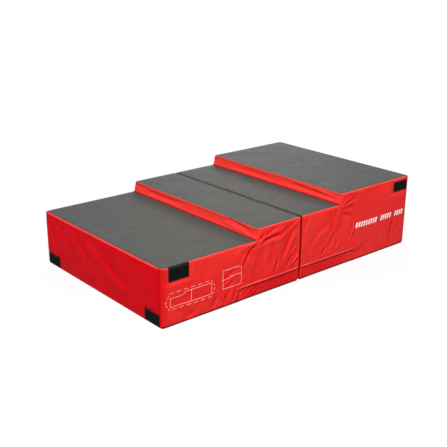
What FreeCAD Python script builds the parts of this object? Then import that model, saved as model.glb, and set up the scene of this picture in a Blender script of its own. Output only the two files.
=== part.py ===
"""Folding soft step box, opened flat.

Two foam halves lie end to end, each in a coated-fabric cover: a low half on the left (-X) and a
high half on the right (+X). Beside the fold both are at the mid height, so that the steps
interlock into a plain cuboid when the low half is folded over onto the high one.
X runs along the length, the near side faces -Y, and the floor is z = 0. Sizes are millimetres.
"""
import FreeCAD
import Part
import Sketcher
import os
import re

SIZES = {
    "half_length": 750,       # from the fold to an outer end
    "half_width": 450,
    "low_top": 250,           # the three step heights
    "mid_top": 300,
    "high_top": 350,
    "riser_start": 250,       # a riser's end at the mid height, measured from the fold
    "riser_run": 10,          # how far a riser leans
    "riser_shift": 1.64,      # how far an inner form's riser corners move along X
    "fold_half_gap": 3,       # from the fold's middle to an inner end
    "cover": 2,               # thickness of the lined cover fabric
    "corner_round": 15,       # upright corners at the outer ends
    "head_round": 5,          # a riser's head
    "foot_round": 3,          # the hollow at a riser's foot
    "rim_round": 4,           # along the side outlines and over the outer ends
    "seam_inset": 6,          # from a nominal edge to the seam beside it
    "zip_reach": 350,         # how far the zip runs from the fold along each side
    "hem_bottom": 62,         # lower edge of the hem that hides the zip
    "band_top": 72,
    "band_depth": 3,          # from the cover's face in to the band
    "facing_bottom": 92,
    "facing_top": 104,
    "tape": 0.8,
    "tape_bottom": 56,
    "tape_top": 100,
    "tape_gap": 3,            # between the two tapes, bridged by the coil
    "coil_width": 6,
    "coil_depth": 4.3,
    "channel_bottom": 52,     # the foam gives way behind the zip
    "channel_depth": 12,
    "stop_length": 3,
    "slider_length": 14,
    "slider_depth": 3.2,
    "slider_wall": 0.8,
    "slider_gap": 0.3,
    "slider_place": 339,      # outer end of the slider when the zip is closed
    "pull_length": 30,
    "pull_width": 7,
    "pull_depth": 2.2,
    "strip_reach": 33,        # hinge strip, to each side of the fold
    "strip": 1,
    "patch_length": 100,      # hook-and-loop patches
    "patch_width": 50,
    "patch": 1.5,
    "end_patch_margin": 17,   # from a side face
    "end_patch_bottom": 5,
    "side_patch_margin": 17,  # from the outer end
    "side_patch_drop": 15,    # below the high top
    "tab_margin": 32,         # from the outer end
    "tab_top": 244,
    "tab_bottom": 190,
    "tab_gap": 0.4,           # from the side face to the tab
    "tab_strap": 1,
    "tab_hooks": 1.2,
    "hook_margin": 3,
    "anchor_bottom": 244.5,
    "anchor_top": 249,
    "anchor": 1.6,
    "beyond": 20,             # how far a cutting box runs past a face
}
HALF_TURN = 180
TOUCHING = 0.01
UP = FreeCAD.Vector(0, 0, 1)
NEAR = "near"
FAR = "far"

doc = FreeCAD.newDocument("FoldingStepBox")
sheet = doc.addObject("Spreadsheet::Sheet", "Sizes")
for row, (alias, size) in enumerate(SIZES.items(), start=1):
    sheet.set("A%d" % row, alias)
    sheet.set("B%d" % row, str(size))
    sheet.setAlias("B%d" % row, alias)
doc.recompute()

pieces = []


def bound(text):
    """An expression in which each word is a cell of the sheet."""
    return re.sub(r"[a-z_]+", lambda word: "Sizes." + word.group(0), text)


def piece(label, solid):
    """Names a finished sub-part and lists it as one to write."""
    solid.Label = label
    pieces.append(solid)
    return solid


def box(name, side, x_span, y_span, z_span):
    """A box from two expressions each way. x runs out from the fold: side is -1 or 1."""
    solid = doc.addObject("Part::Box", name)
    if side < 0:
        x_span = ("-(%s)" % x_span[1], "-(%s)" % x_span[0])
    for edge, axis, span in (("Length", "x", x_span), ("Width", "y", y_span), ("Height", "z", z_span)):
        solid.setExpression(edge, bound("%s - (%s)" % (span[1], span[0])))
        solid.setExpression("Placement.Base." + axis, bound(span[0]))
    return solid


def side_span(where, inner, outer):
    """A y span between two distances from the middle plane, on the near or the far side."""
    if where == NEAR:
        return "-(%s)" % outer, "-(%s)" % inner
    return inner, outer


def cut(name, base, *tools):
    """The base with every tool cut away."""
    for number, tool in enumerate(tools, start=1):
        result = doc.addObject("Part::Cut", "%s_%d" % (name, number))
        result.Base = base
        result.Tool = tool
        base = result
    return base


def common(name, base, region):
    """What the base and the region share."""
    result = doc.addObject("Part::Common", name)
    result.Base = base
    result.Tool = region
    return result


def together(name, *parts):
    """Separate solids that are counted as one sub-part."""
    result = doc.addObject("Part::Compound", name)
    result.Links = list(parts)
    return result


def round_edges(body, name, base, test, radius):
    """A fillet on the edges of the base that pass the test."""
    fillet = body.newObject("PartDesign::Fillet", name)
    names = ["Edge%d" % number for number, edge in enumerate(base.Shape.Edges, start=1) if test(edge)]
    fillet.Base = (base, names)
    fillet.setExpression("Radius", bound(radius))
    doc.recompute()
    return fillet


def outline(sketch, corners):
    """A closed polygon whose corners are pairs of expressions, all of them positive."""
    count = len(corners)
    for number in range(count):
        start = FreeCAD.Vector(number, number % 2, 0)
        following = (number + 1) % count
        sketch.addGeometry(Part.LineSegment(start, FreeCAD.Vector(following, following % 2, 0)))
    for number in range(count):
        sketch.addConstraint(Sketcher.Constraint("Coincident", number, 2, (number + 1) % count, 1))
    for number, (across, height) in enumerate(corners):
        for kind, start, text in (("DistanceX", number, across), ("DistanceY", number, height)):
            index = sketch.addConstraint(Sketcher.Constraint(kind, -1, 1, number, 1, 1.0 + number))
            sketch.setExpression("Constraints[%d]" % index, bound(text))


def crosswise_at(*corners):
    """A test for the edges that run from side to side through the profile's corners."""
    def test(edge):
        bounds = edge.BoundBox
        return any(
            max(abs(bounds.XMin - corner.x), abs(bounds.XMax - corner.x),
                abs(bounds.ZMin - corner.y), abs(bounds.ZMax - corner.y)) < TOUCHING
            for corner in corners)
    return test


def upright_at(corner):
    """A test for the upright edges through one of the profile's corners."""
    def test(edge):
        bounds = edge.BoundBox
        return bounds.ZLength > TOUCHING and abs(bounds.XMin - corner.x) < TOUCHING
    return test


def around_rim(half_width, end, foot):
    """A test for the edges along both side outlines and over the outer end."""
    def test(edge):
        bounds = edge.BoundBox
        in_side_face = bounds.YLength < TOUCHING and abs(abs(bounds.YMin) - half_width) < TOUCHING
        already_smooth = bounds.ZLength > TOUCHING and bounds.XMin > (foot.x + end.x) / 2
        over_end = bounds.ZLength < TOUCHING and abs(bounds.XMax - end.x) < TOUCHING
        return over_end or (in_side_face and not already_smooth)
    return test


def half_form(name, half, inset, shift):
    """One half's closed form with rounded edges. An inset of the cover gives the foam's form.

    Inside the cover the outward curves are tighter by that inset, and the hollow one is wider.
    """
    body = doc.addObject("PartDesign::Body", name)
    sketch = body.newObject("Sketcher::SketchObject", name + "_profile")
    plane = next(part for part in body.Origin.OriginFeatures if part.Role == "XZ_Plane")
    sketch.AttachmentSupport = (plane, "")
    sketch.MapMode = "FlatFace"
    toward = "+" if half["side"] > 0 else "-"
    outer_height = "%s - %s" % (half["outer"], inset)
    outline(sketch, (
        ("fold_half_gap + %s" % inset, inset),
        ("half_length - %s" % inset, inset),
        ("half_length - %s" % inset, outer_height),
        ("riser_start + riser_run %s %s" % (toward, shift), outer_height),
        ("riser_start %s %s" % (toward, shift), "mid_top - %s" % inset),
        ("fold_half_gap + %s" % inset, "mid_top - %s" % inset),
    ))
    pad = body.newObject("PartDesign::Pad", name + "_pad")
    pad.Profile = sketch
    pad.Midplane = True
    pad.setExpression("Length", bound("2 * (half_width - %s)" % inset))
    doc.recompute()

    corners = [line.StartPoint for line in sketch.Geometry]
    end = corners[1]
    foot, head = sorted(corners[3:5], key=lambda corner: corner.y)
    upright = round_edges(body, name + "_corners", pad, upright_at(end), "corner_round - " + inset)
    over = round_edges(body, name + "_head", upright, crosswise_at(head), "head_round - " + inset)
    hollow = round_edges(body, name + "_hollow", over, crosswise_at(foot), "foot_round + " + inset)
    rim = around_rim(pad.Shape.BoundBox.YMax, end, foot)
    round_edges(body, name + "_rim", hollow, rim, "rim_round - " + inset)
    if half["side"] < 0:
        body.Placement = FreeCAD.Placement(FreeCAD.Vector(), FreeCAD.Rotation(UP, HALF_TURN))
    return body


def u_wall(name, side, front, back, bottom, top, reach="zip_reach"):
    """A wall along the near side, the inner end and the far side, between two depths."""
    outer = box(name + "_outer", side, ("fold_half_gap + %s" % front, reach),
                ("-(half_width - (%s))" % front, "half_width - (%s)" % front), (bottom, top))
    inner = box(name + "_inner", side, ("fold_half_gap + %s" % back, "zip_reach + beyond"),
                ("-(half_width - (%s))" % back, "half_width - (%s)" % back),
                ("%s - beyond" % bottom, "%s + beyond" % top))
    return cut(name, outer, inner)


def cover_panels(name, half, outer_form, foam_form):
    """The sewn panels of one half: a thin shell parted along its seams."""
    side = half["side"]
    shell = cut(name + "_shell", outer_form, foam_form)
    whole = ("-beyond", "high_top + beyond")
    between = ("-(half_width - seam_inset)", "half_width - seam_inset")
    overall = ("-beyond", "half_length + beyond")
    inner_end = ("-beyond", "fold_half_gap + seam_inset")
    flat = ("fold_half_gap + seam_inset", "half_length - seam_inset")
    riser = ("riser_start - head_round", "riser_start + riser_run + foot_round")
    if side > 0:
        riser = ("riser_start - foot_round", "riser_start + riser_run + head_round")
    upper = ("low_top / 2", "high_top + beyond")
    regions = {
        "base_panel": (flat, between, ("-beyond", "low_top / 2")),
        "end_outer": (("half_length - seam_inset", "half_length + beyond"), between, whole),
        "end_inner": (inner_end, between, ("hem_bottom", "mid_top - cover - strip")),
        "top_inner": (("-beyond", riser[0]), between, ("mid_top - cover", "high_top + beyond")),
        "riser": (riser, between, upper),
        "top_outer": ((riser[1], "half_length - seam_inset"), between, upper),
    }
    for label, spans in regions.items():
        region = box("%s_%s_region" % (name, label), side, *spans)
        piece("%s_%s" % (name, label), common("%s_%s" % (name, label), shell, region))
    for where in (NEAR, FAR):
        label = "%s_side_%s" % (name, where)
        edge = side_span(where, "half_width - seam_inset", "half_width + beyond")
        panel = common(label + "_whole", shell, box(label + "_region", side, overall, edge, whole))
        below_hem = box(label + "_opening", side, ("-beyond", "zip_reach"), edge, ("-beyond", "hem_bottom"))
        piece(label, cut(label, panel, below_hem))


def foam_blocks(name, half, foam_form):
    """The base block and the glued step block, with room for the zip and the hinge strip."""
    side = half["side"]
    every_x = ("-beyond", "half_length + beyond")
    every_y = ("-(half_width + beyond)", "half_width + beyond")
    level = "low_top - cover" if side < 0 else "mid_top - cover"
    strip_room = box(name + "_strip_room", side, ("-beyond", "strip_reach"),
                     ("-(half_width - seam_inset)", "half_width - seam_inset"),
                     ("mid_top - cover - strip", "mid_top - cover"))
    band_room = u_wall(name + "_band_room", side, "-beyond", "seam_inset", "-beyond", "facing_top")
    zip_room = u_wall(name + "_zip_room", side, "-beyond", "channel_depth", "channel_bottom", "facing_top")
    base = common(name + "_base_form", foam_form,
                  box(name + "_base_region", side, every_x, every_y, ("-beyond", level)))
    step = common(name + "_step_form", foam_form,
                  box(name + "_step_region", side, every_x, every_y, (level, "high_top + beyond")))
    if side < 0:
        step = cut(name + "_step", step, strip_room)
        base = cut(name + "_base", base, band_room, zip_room)
    else:
        base = cut(name + "_base", base, band_room, zip_room, strip_room)
    piece(name + "_foam_base", base)
    piece(name + "_foam_step", step)


def zip_parts(name, half, foam_form):
    """The band below the hem, and the zip that runs round three sides behind the hem."""
    side = half["side"]
    middle = "(tape_bottom + tape_top) / 2"
    piece(name + "_zip_band", u_wall(name + "_zip_band", side, "band_depth", "seam_inset", "0", "band_top"))
    facing = u_wall(name + "_facing_wall", side, "cover", "seam_inset", "facing_bottom", "facing_top")
    piece(name + "_zip_facing", common(name + "_zip_facing", facing, foam_form))
    back = "seam_inset + tape"
    piece(name + "_zip_tapes", together(
        name + "_zip_tapes",
        u_wall(name + "_tape_low", side, "seam_inset", back, "tape_bottom", middle + " - tape_gap / 2"),
        u_wall(name + "_tape_high", side, "seam_inset", back, middle + " + tape_gap / 2", "tape_top")))
    coil_edges = (middle + " - coil_width / 2", middle + " + coil_width / 2")
    piece(name + "_zip_coil", u_wall(name + "_zip_coil", side, "coil_depth", "seam_inset", *coil_edges,
                                     reach="zip_reach - stop_length"))
    stops = [box("%s_stop_%s" % (name, where), side, ("zip_reach - stop_length", "zip_reach"),
                 side_span(where, "half_width - seam_inset", "half_width - coil_depth"), coil_edges)
             for where in (NEAR, FAR)]
    piece(name + "_zip_stops", together(name + "_zip_stops", *stops))

    length = ("slider_place - slider_length", "slider_place")
    around = "coil_width / 2 + slider_gap"
    shell = box(name + "_slider_shell", side, length,
                side_span(NEAR, "half_width - seam_inset + slider_gap", "half_width - slider_depth"),
                ("%s - %s - slider_wall" % (middle, around), "%s + %s + slider_wall" % (middle, around)))
    past_both_ends = ("slider_place - slider_length - beyond", "slider_place + beyond")
    room = box(name + "_slider_room", side, past_both_ends,
               side_span(NEAR, "half_width - seam_inset - beyond", "half_width - slider_depth - slider_wall"),
               ("%s - (%s)" % (middle, around), "%s + %s" % (middle, around)))
    piece(name + "_zip_slider", cut(name + "_zip_slider", shell, room))
    pull = box(name + "_pull_plate", side, ("slider_place - pull_length", "slider_place"),
               side_span(NEAR, "half_width - slider_depth", "half_width - pull_depth"),
               (middle + " - pull_width / 2", middle + " + pull_width / 2"))
    piece(name + "_zip_pull", pull)


def end_patches(name, half):
    """Two hook-and-loop patches in the bottom corners of the outer end."""
    outer = "half_width - end_patch_margin"
    patches = [box("%s_end_patch_%s" % (name, where), half["side"], ("half_length", "half_length + patch"),
                   side_span(where, outer + " - patch_length", outer),
                   ("end_patch_bottom", "end_patch_bottom + patch_width"))
               for where in (NEAR, FAR)]
    piece(name + "_end_patches", together(name + "_end_patches", *patches))


def side_patches(name, half):
    """The loop patches on the high half, which the closing tabs grip when the box is folded."""
    end = "half_length - side_patch_margin"
    top = "high_top - side_patch_drop"
    patches = [box("%s_side_patch_%s" % (name, where), half["side"], (end + " - patch_length", end),
                   side_span(where, "half_width", "half_width + patch"), (top + " - patch_width", top))
               for where in (NEAR, FAR)]
    piece(name + "_side_patches", together(name + "_side_patches", *patches))


def closing_tab(where, half):
    """A tab that hangs from the low half's top seam, with its hooks on the face seen."""
    side = half["side"]
    end = "half_length - tab_margin"
    length = (end + " - patch_length", end)
    face = "half_width + tab_gap"
    strap_face = face + " + tab_strap"
    strap = box("tab_%s_strap" % where, side, length, side_span(where, face, strap_face),
                ("tab_bottom", "tab_top"))
    hooks = box("tab_%s_hooks" % where, side, (length[0] + " + hook_margin", length[1] + " - hook_margin"),
                side_span(where, strap_face, strap_face + " + tab_hooks"),
                ("tab_bottom + hook_margin", "tab_top - hook_margin"))
    anchor = box("tab_%s_anchor" % where, side, length, side_span(where, "half_width", "half_width + anchor"),
                 ("anchor_bottom", "anchor_top"))
    piece("tab_%s_strap" % where, strap)
    piece("tab_%s_hooks" % where, hooks)
    piece("tab_%s_anchor" % where, anchor)


def hinge_strip():
    """The fabric strip under both inner tops, which carries the fold."""
    strip = box("hinge_strip", 1, ("-strip_reach", "strip_reach"),
                ("-(half_width - seam_inset)", "half_width - seam_inset"),
                ("mid_top - cover - strip", "mid_top - cover"))
    piece("hinge_strip", strip)


HALVES = {
    "low": {"side": -1, "outer": "low_top"},
    "high": {"side": 1, "outer": "high_top"},
}
for name, half in HALVES.items():
    outer_form = half_form(name + "_outer_form", half, "0", "0")
    foam_form = half_form(name + "_foam_form", half, "cover", "riser_shift")
    cover_panels(name, half, outer_form, foam_form)
    foam_blocks(name, half, foam_form)
    zip_parts(name, half, foam_form)
    end_patches(name, half)
side_patches("high", HALVES["high"])
for where in (NEAR, FAR):
    closing_tab(where, HALVES["low"])
hinge_strip()
doc.recompute()

for thing in doc.Objects:
    if "Invalid" in thing.State or "Error" in thing.State:
        raise RuntimeError("%s was not built: %s" % (thing.Label, thing.State))
os.makedirs("parts", exist_ok=True)
for solid in pieces:
    if solid.Shape.isNull() or not solid.Shape.isValid():
        raise RuntimeError("%s has no valid shape" % solid.Label)
    solid.Shape.exportStep("parts/%s.step" % solid.Label)
    print("%-20s %2d solid(s) %12.0f mm3" % (solid.Label, len(solid.Shape.Solids), solid.Shape.Volume))
print(len(pieces), "sub-parts")
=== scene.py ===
import bpy
import math
import numpy as np
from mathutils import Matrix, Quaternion, Vector
from mathutils.bvhtree import BVHTree


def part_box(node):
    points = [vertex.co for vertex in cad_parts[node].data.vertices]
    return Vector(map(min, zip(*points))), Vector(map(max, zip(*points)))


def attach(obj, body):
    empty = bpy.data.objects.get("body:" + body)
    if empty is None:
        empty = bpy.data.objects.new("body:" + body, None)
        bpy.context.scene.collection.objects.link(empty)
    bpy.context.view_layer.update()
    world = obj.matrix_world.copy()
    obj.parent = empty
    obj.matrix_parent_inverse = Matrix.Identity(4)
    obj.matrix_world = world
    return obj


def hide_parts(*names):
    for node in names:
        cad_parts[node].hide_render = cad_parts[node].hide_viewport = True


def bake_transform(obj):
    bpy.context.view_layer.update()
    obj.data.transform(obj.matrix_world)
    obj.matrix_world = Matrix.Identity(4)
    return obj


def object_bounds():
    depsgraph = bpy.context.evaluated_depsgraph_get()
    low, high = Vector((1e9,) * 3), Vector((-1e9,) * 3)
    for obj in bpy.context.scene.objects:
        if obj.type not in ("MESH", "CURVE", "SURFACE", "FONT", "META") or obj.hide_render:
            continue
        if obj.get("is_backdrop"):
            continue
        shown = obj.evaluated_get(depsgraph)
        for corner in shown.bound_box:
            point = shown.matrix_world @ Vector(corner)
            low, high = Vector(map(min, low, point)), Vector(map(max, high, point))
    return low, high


# Looks of a folding soft step box, opened flat. Lengths are metres.
# X runs along the box with the fold at 0, the near side faces -Y, and the floor is z = 0.
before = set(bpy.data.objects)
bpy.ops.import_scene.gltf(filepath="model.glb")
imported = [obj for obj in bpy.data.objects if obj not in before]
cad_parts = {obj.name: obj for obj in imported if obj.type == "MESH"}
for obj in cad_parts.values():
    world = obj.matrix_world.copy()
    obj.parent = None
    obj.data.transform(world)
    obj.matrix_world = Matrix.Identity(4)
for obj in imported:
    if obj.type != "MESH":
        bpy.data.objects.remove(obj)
CAD_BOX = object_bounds()
MM = 0.001

# Sizes read from the frame
HALF_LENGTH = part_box("high_end_outer")[1].x
HALF_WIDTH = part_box("high_side_far")[1].y
LOW_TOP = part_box("low_top_outer")[1].z
MID_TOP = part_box("high_top_inner")[1].z
HIGH_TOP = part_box("high_top_outer")[1].z
FOLD_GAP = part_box("high_end_inner")[0].x
SEAM_INSET = HALF_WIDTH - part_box("high_top_outer")[1].y
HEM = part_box("high_end_inner")[0].z
ZIP_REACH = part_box("high_zip_band")[1].x
BAND_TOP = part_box("high_zip_band")[1].z
BAND_FACE = HALF_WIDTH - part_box("high_zip_band")[1].y

# Sizes of the cover that the frame's boxes don't give
RISER_START = 250 * MM
RISER_RUN = 10 * MM
CORNER_ROUND = 16 * MM
COVER = 2 * MM
PATCH_LENGTH = 100 * MM
FOAM_INSET = 8 * MM       # the foam is this much smaller than the cover

# Spacing of the cover's points
CELL = 12 * MM
RISER_CELL = 6 * MM

# How far the cloth is drawn in at its seams, edges, step corners, floor and riser feet
SEAM_DIP = 1.8 * MM
EDGE_PULL = 0.9 * MM
CORNER_PULL = 2.4 * MM
FLOOR_TUCK = 2.8 * MM
FOOT_DIP = 1.5 * MM

# How far folds may stand out or dent in
DENT_LIMIT = 5 * MM
SIDE_LIMIT = 8 * MM
TOP_LIMIT = 1.4 * MM
TOP_DENT = 3 * MM
RISER_PROUD = 0.3 * MM

RISER_RECESS = 2.4 * MM   # the long hollow of a riser
ZIP_CLEAR = 110 * MM      # up to here the sides may not dent in towards the zip
RIPPLE = 36 * MM          # spacing of the zip band's gathers
SEED = 7

# Cloth colours: the deep tones are mottling and painted shade in hollows, the pale tones are wear with a
# painted highlight, and the dark tones are painted shade in seams and creases
RED = (0.85, 0.032, 0.026)
RED_DEEP = (0.7, 0.002, 0.006)
RED_WEAR_AND_HIGHLIGHT = (1.0, 0.13, 0.1)
RED_PAINTED_SHADE = (0.11, 0.003, 0.002)
# The outer ends' red: the same cloth painted darker and less glossy, as painted shade on the faces that the
# lamps reach less
END_RED_IN_SHADE = (0.76, 0.005, 0.013)
END_DEEP_RED_IN_SHADE = (0.64, 0.001, 0.006)
GREY = (0.062, 0.064, 0.059)
GREY_DEEP = (0.053, 0.055, 0.05)
GREY_WEAR_AND_HIGHLIGHT = (0.11, 0.112, 0.104)
GREY_PAINTED_SHADE = (0.012, 0.013, 0.012)
# The hinge strip's grey, darkened to paint the shade in the gap at the fold
HINGE_SHADE_GREY = (0.02, 0.022, 0.021)
BLACK = (0.002, 0.004, 0.003)
BLACK_PALE = (0.008, 0.01, 0.009)
PRINT_WHITE = (0.95, 0.93, 0.92)

WHITE = (1, 1, 1, 1)

PANELS = ("end_outer", "end_inner", "top_outer", "top_inner", "riser", "side_near", "side_far")
PANEL_ID = {name: number for number, name in enumerate(PANELS)}

# The bend attribute: above 0 the cloth is worn pale with a painted highlight, below 0 it carries painted
# shade, and both are full at this value
BEND_AND_PAINTED_LIGHT = "bend"
FULL_BEND = 0.3

# How the cloth behaves between its pinned seams
CLOTH = {
    "quality": 5, "mass": 0.35, "tension_stiffness": 40, "compression_stiffness": 40,
    "shear_stiffness": 20, "bending_stiffness": 6, "shrink_min": -0.014,
    "use_pressure": True, "uniform_pressure_force": 0.15,
}
# How much of the simulated slack each panel keeps, and how far it may stand out
SLACK_AND_LIMIT = {
    "end_outer": (0.5, SIDE_LIMIT), "end_inner": (0.2, 0.8 * MM), "top_outer": (0.35, TOP_LIMIT),
    "top_inner": (0.35, TOP_LIMIT), "riser": (0.3, RISER_PROUD), "side_near": (0.6, SIDE_LIMIT),
    "side_far": (0.6, SIDE_LIMIT),
}


# Node graphs

class Graph:
    """The node graph of a world or a material. Inputs are given as numbers or as sockets."""

    def __init__(self, owner):
        owner.use_nodes = True
        self.tree = owner.node_tree

    def fill(self, socket, value):
        """Links a socket to another, or gives it a value."""
        if isinstance(value, bpy.types.NodeSocket):
            self.tree.links.new(value, socket)
        else:
            socket.default_value = value

    def node(self, kind, inputs=None, **settings):
        """A node with its settings and inputs."""
        made = self.tree.nodes.new(kind)
        for key, value in settings.items():
            setattr(made, key, value)
        for key, value in (inputs or {}).items():
            self.fill(made.inputs[key], value)
        return made

    def end_at(self, output, shader):
        """Links a shader to the graph's output node."""
        self.fill(self.tree.nodes[output].inputs["Surface"], shader.outputs[0])

    def math(self, operation, first, second=0.0, third=0.0):
        """One sum of up to three sockets or numbers."""
        return self.node("ShaderNodeMath", {0: first, 1: second, 2: third}, operation=operation).outputs[0]

    def ramp(self, value, low, high, result_low=0.0, result_high=1.0):
        """The value carried from one range to another, and held at its ends."""
        names = ("Value", "From Min", "From Max", "To Min", "To Max")
        inputs = dict(zip(names, (value, low, high, result_low, result_high)))
        return self.node("ShaderNodeMapRange", inputs).outputs["Result"]

    def seen_directly(self):
        """1 for camera, mirror and glass rays, else 0."""
        rays = self.node("ShaderNodeLightPath").outputs
        either = self.math("MAXIMUM", rays["Is Camera Ray"], rays["Is Glossy Ray"])
        return self.math("MAXIMUM", either, rays["Is Transmission Ray"])


# Camera, light and floor

def make_camera():
    """The photograph's view: orbit angles round a target, distance and lens."""
    azimuth, elevation, roll = (math.radians(angle) for angle in (-40.66, 19.52, 0.48))
    target = Vector((-0.0036, 0.0633, 0.1276))
    distance = 3.7725
    camera = bpy.data.objects.new("camera", bpy.data.cameras.new("camera"))
    bpy.context.collection.objects.link(camera)
    camera.data.sensor_width = 36
    camera.data.lens = 62.54
    camera.data.clip_end = 200
    back = Vector((
        math.sin(azimuth) * math.cos(elevation),
        -math.cos(azimuth) * math.cos(elevation),
        math.sin(elevation),
    ))
    camera.location = target + back * distance
    camera.rotation_mode = "QUATERNION"
    camera.rotation_quaternion = (-back).to_track_quat("-Z", "Y") @ Quaternion((0, 0, 1), roll)
    bpy.context.scene.camera = camera


def make_lamp(name, place, size, power):
    """A square area lamp aimed at the box."""
    light = bpy.data.lights.new(name, "AREA")
    light.size = size
    light.energy = power
    lamp = bpy.data.objects.new(name, light)
    lamp.location = place
    lamp.rotation_mode = "QUATERNION"
    lamp.rotation_quaternion = (Vector((0, 0, 0.15)) - Vector(place)).to_track_quat("-Z", "Y")
    bpy.context.collection.objects.link(lamp)


def make_world():
    """An even soft light, seen as plain white."""
    world = bpy.data.worlds.new("studio")
    bpy.context.scene.world = world
    graph = Graph(world)
    light = graph.tree.nodes["Background"]
    light.inputs["Color"].default_value = WHITE
    light.inputs["Strength"].default_value = 0.3
    white = graph.node("ShaderNodeBackground", {"Color": WHITE, "Strength": 1})
    inputs = {0: graph.seen_directly(), 1: light.outputs[0], 2: white.outputs[0]}
    graph.end_at("World Output", graph.node("ShaderNodeMixShader", inputs))


def make_floor():
    """A white floor that keeps a soft shadow and is lifted to white with distance."""
    reach = 60
    mesh = bpy.data.meshes.new("floor")
    corners = [(-reach, -reach, 0), (reach, -reach, 0), (reach, reach, 0), (-reach, reach, 0)]
    mesh.from_pydata(corners, [], [(0, 1, 2, 3)])
    floor = bpy.data.objects.new("floor", mesh)
    bpy.context.collection.objects.link(floor)
    recipe = Recipe("floor_white", 0.9, specular=0.1)
    recipe.shader.inputs["Base Color"].default_value = (0.25, 0.25, 0.25, 1)
    distance = recipe.node("ShaderNodeVectorMath", {0: recipe.place.outputs["Object"]}, operation="LENGTH")
    whiter = recipe.ramp(distance.outputs["Value"], 1.2, 5, 0.66, 0.92)
    strength = recipe.math("MULTIPLY", recipe.seen_directly(), whiter)
    lift = recipe.node("ShaderNodeEmission", {"Color": WHITE, "Strength": strength})
    inputs = {0: recipe.shader.outputs[0], 1: lift.outputs[0]}
    recipe.end_at("Material Output", recipe.node("ShaderNodeAddShader", inputs))
    mesh.materials.append(recipe.material)
    floor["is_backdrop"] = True


# Materials

class Recipe(Graph):
    """A material under construction, measured in the object's own metres."""

    def __init__(self, name, roughness, specular=0.5):
        self.material = bpy.data.materials.new(name)
        super().__init__(self.material)
        self.shader = self.tree.nodes["Principled BSDF"]
        self.shader.inputs["Roughness"].default_value = roughness
        self.shader.inputs["Specular IOR Level"].default_value = specular
        self.place = self.node("ShaderNodeTexCoord")

    def noise(self, scale, detail=3.0, roughness=0.5, stretch=None):
        """Noise, drawn out along an axis where stretch says so."""
        where = self.place.outputs["Object"]
        if stretch:
            where = self.node("ShaderNodeVectorMath", {0: where, 1: stretch}, operation="MULTIPLY").outputs[0]
        inputs = {"Vector": where, "Scale": scale, "Detail": detail, "Roughness": roughness}
        return self.node("ShaderNodeTexNoise", inputs).outputs["Fac"]

    def cells(self, scale, randomness=1.0):
        """The distance from the middle of the nearest cell."""
        inputs = {"Vector": self.place.outputs["Object"], "Scale": scale, "Randomness": randomness}
        return self.node("ShaderNodeTexVoronoi", inputs).outputs["Distance"]

    def mix(self, share, first, second):
        """A blend of two colours."""
        made = self.node("ShaderNodeMix", data_type="RGBA")
        for socket, value in zip((0, 6, 7), (share, first, second)):
            self.fill(made.inputs[socket], (*value, 1) if isinstance(value, tuple) else value)
        return made.outputs[2]

    def weave(self, thread):
        """Threads crossing at right angles on any face that lies square to the axes."""
        where = self.node("ShaderNodeSeparateXYZ", {0: self.place.outputs["Object"]})
        facing_to = self.node("ShaderNodeSeparateXYZ", {0: self.place.outputs["Normal"]})
        total = 0.0
        for axis in range(3):
            turns = self.math("MULTIPLY", where.outputs[axis], 2 * math.pi / thread)
            squared = self.math("POWER", self.math("ABSOLUTE", facing_to.outputs[axis]), 2.0)
            lies_in_face = self.math("MULTIPLY_ADD", squared, -1.0, 1.0)
            wave = self.math("MULTIPLY", self.math("ABSOLUTE", self.math("SINE", turns)), lies_in_face)
            total = self.math("ADD", wave, total)
        return total

    def bump(self, height, distance):
        """Relief of the given depth in metres."""
        relief = self.node("ShaderNodeBump", {"Height": height, "Distance": distance, "Strength": 1.0})
        self.fill(self.shader.inputs["Normal"], relief.outputs["Normal"])

    def paint(self, colour):
        """Links a colour to the shader."""
        self.fill(self.shader.inputs["Base Color"], colour)

    def gloss(self, roughness):
        """Links a roughness to the shader."""
        self.fill(self.shader.inputs["Roughness"], roughness)


def coated_fabric(name, colour, deep, pale, dark, roughness, specular, thread=1.1 * MM):
    """Woven polyester with a satin coating: mottled and scuffed, with a painted highlight mixed with wear on
    its edges and ridges, and painted shade in its hollows and seams.
    """
    recipe = Recipe(name, roughness, specular)
    bend = recipe.node("ShaderNodeAttribute", attribute_name=BEND_AND_PAINTED_LIGHT).outputs["Fac"]
    cloudy = recipe.ramp(recipe.noise(5, 4), 0.35, 0.68, 0.55, 0.95)
    # Hollows lean to the deep tone: painted shade, over random mottling
    body = recipe.mix(recipe.ramp(recipe.math("MULTIPLY_ADD", bend, 7.0, cloudy), 0, 1), deep, colour)
    scuffed = recipe.ramp(recipe.noise(60, 3), 0.3, 0.6, 0.55, 1)
    # Edges and ridges turn pale: wear with a painted highlight
    worn = recipe.math("MULTIPLY", recipe.ramp(bend, 0.05, FULL_BEND, 0, 0.65), scuffed)
    # Seams, hollows and the marked lines turn dark: painted shade
    crease_shade = recipe.ramp(bend, -FULL_BEND, -0.03, 0.9, 0)
    recipe.paint(recipe.mix(crease_shade, recipe.mix(worn, body, pale), dark))
    rubbed = recipe.noise(38, 5, 0.65)
    recipe.gloss(recipe.ramp(rubbed, 0.3, 0.7, roughness - 0.06, roughness + 0.08))
    grain = recipe.math("MULTIPLY", recipe.noise(900, 2), 0.8)
    recipe.bump(recipe.math("ADD", recipe.weave(thread), grain), 0.12 * MM)
    return recipe.material


def fuzzy_tape(name, scale):
    """Hook-and-loop tape: matt black with a dense nap."""
    recipe = Recipe(name, 0.85, specular=0.04)
    nap = recipe.noise(scale, 4, 0.7)
    recipe.paint(recipe.mix(recipe.ramp(nap, 0.35, 0.75), BLACK, BLACK_PALE))
    recipe.gloss(recipe.ramp(nap, 0.3, 0.7, 0.75, 0.95))
    recipe.bump(nap, 0.5 * MM)
    return recipe.material


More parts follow.
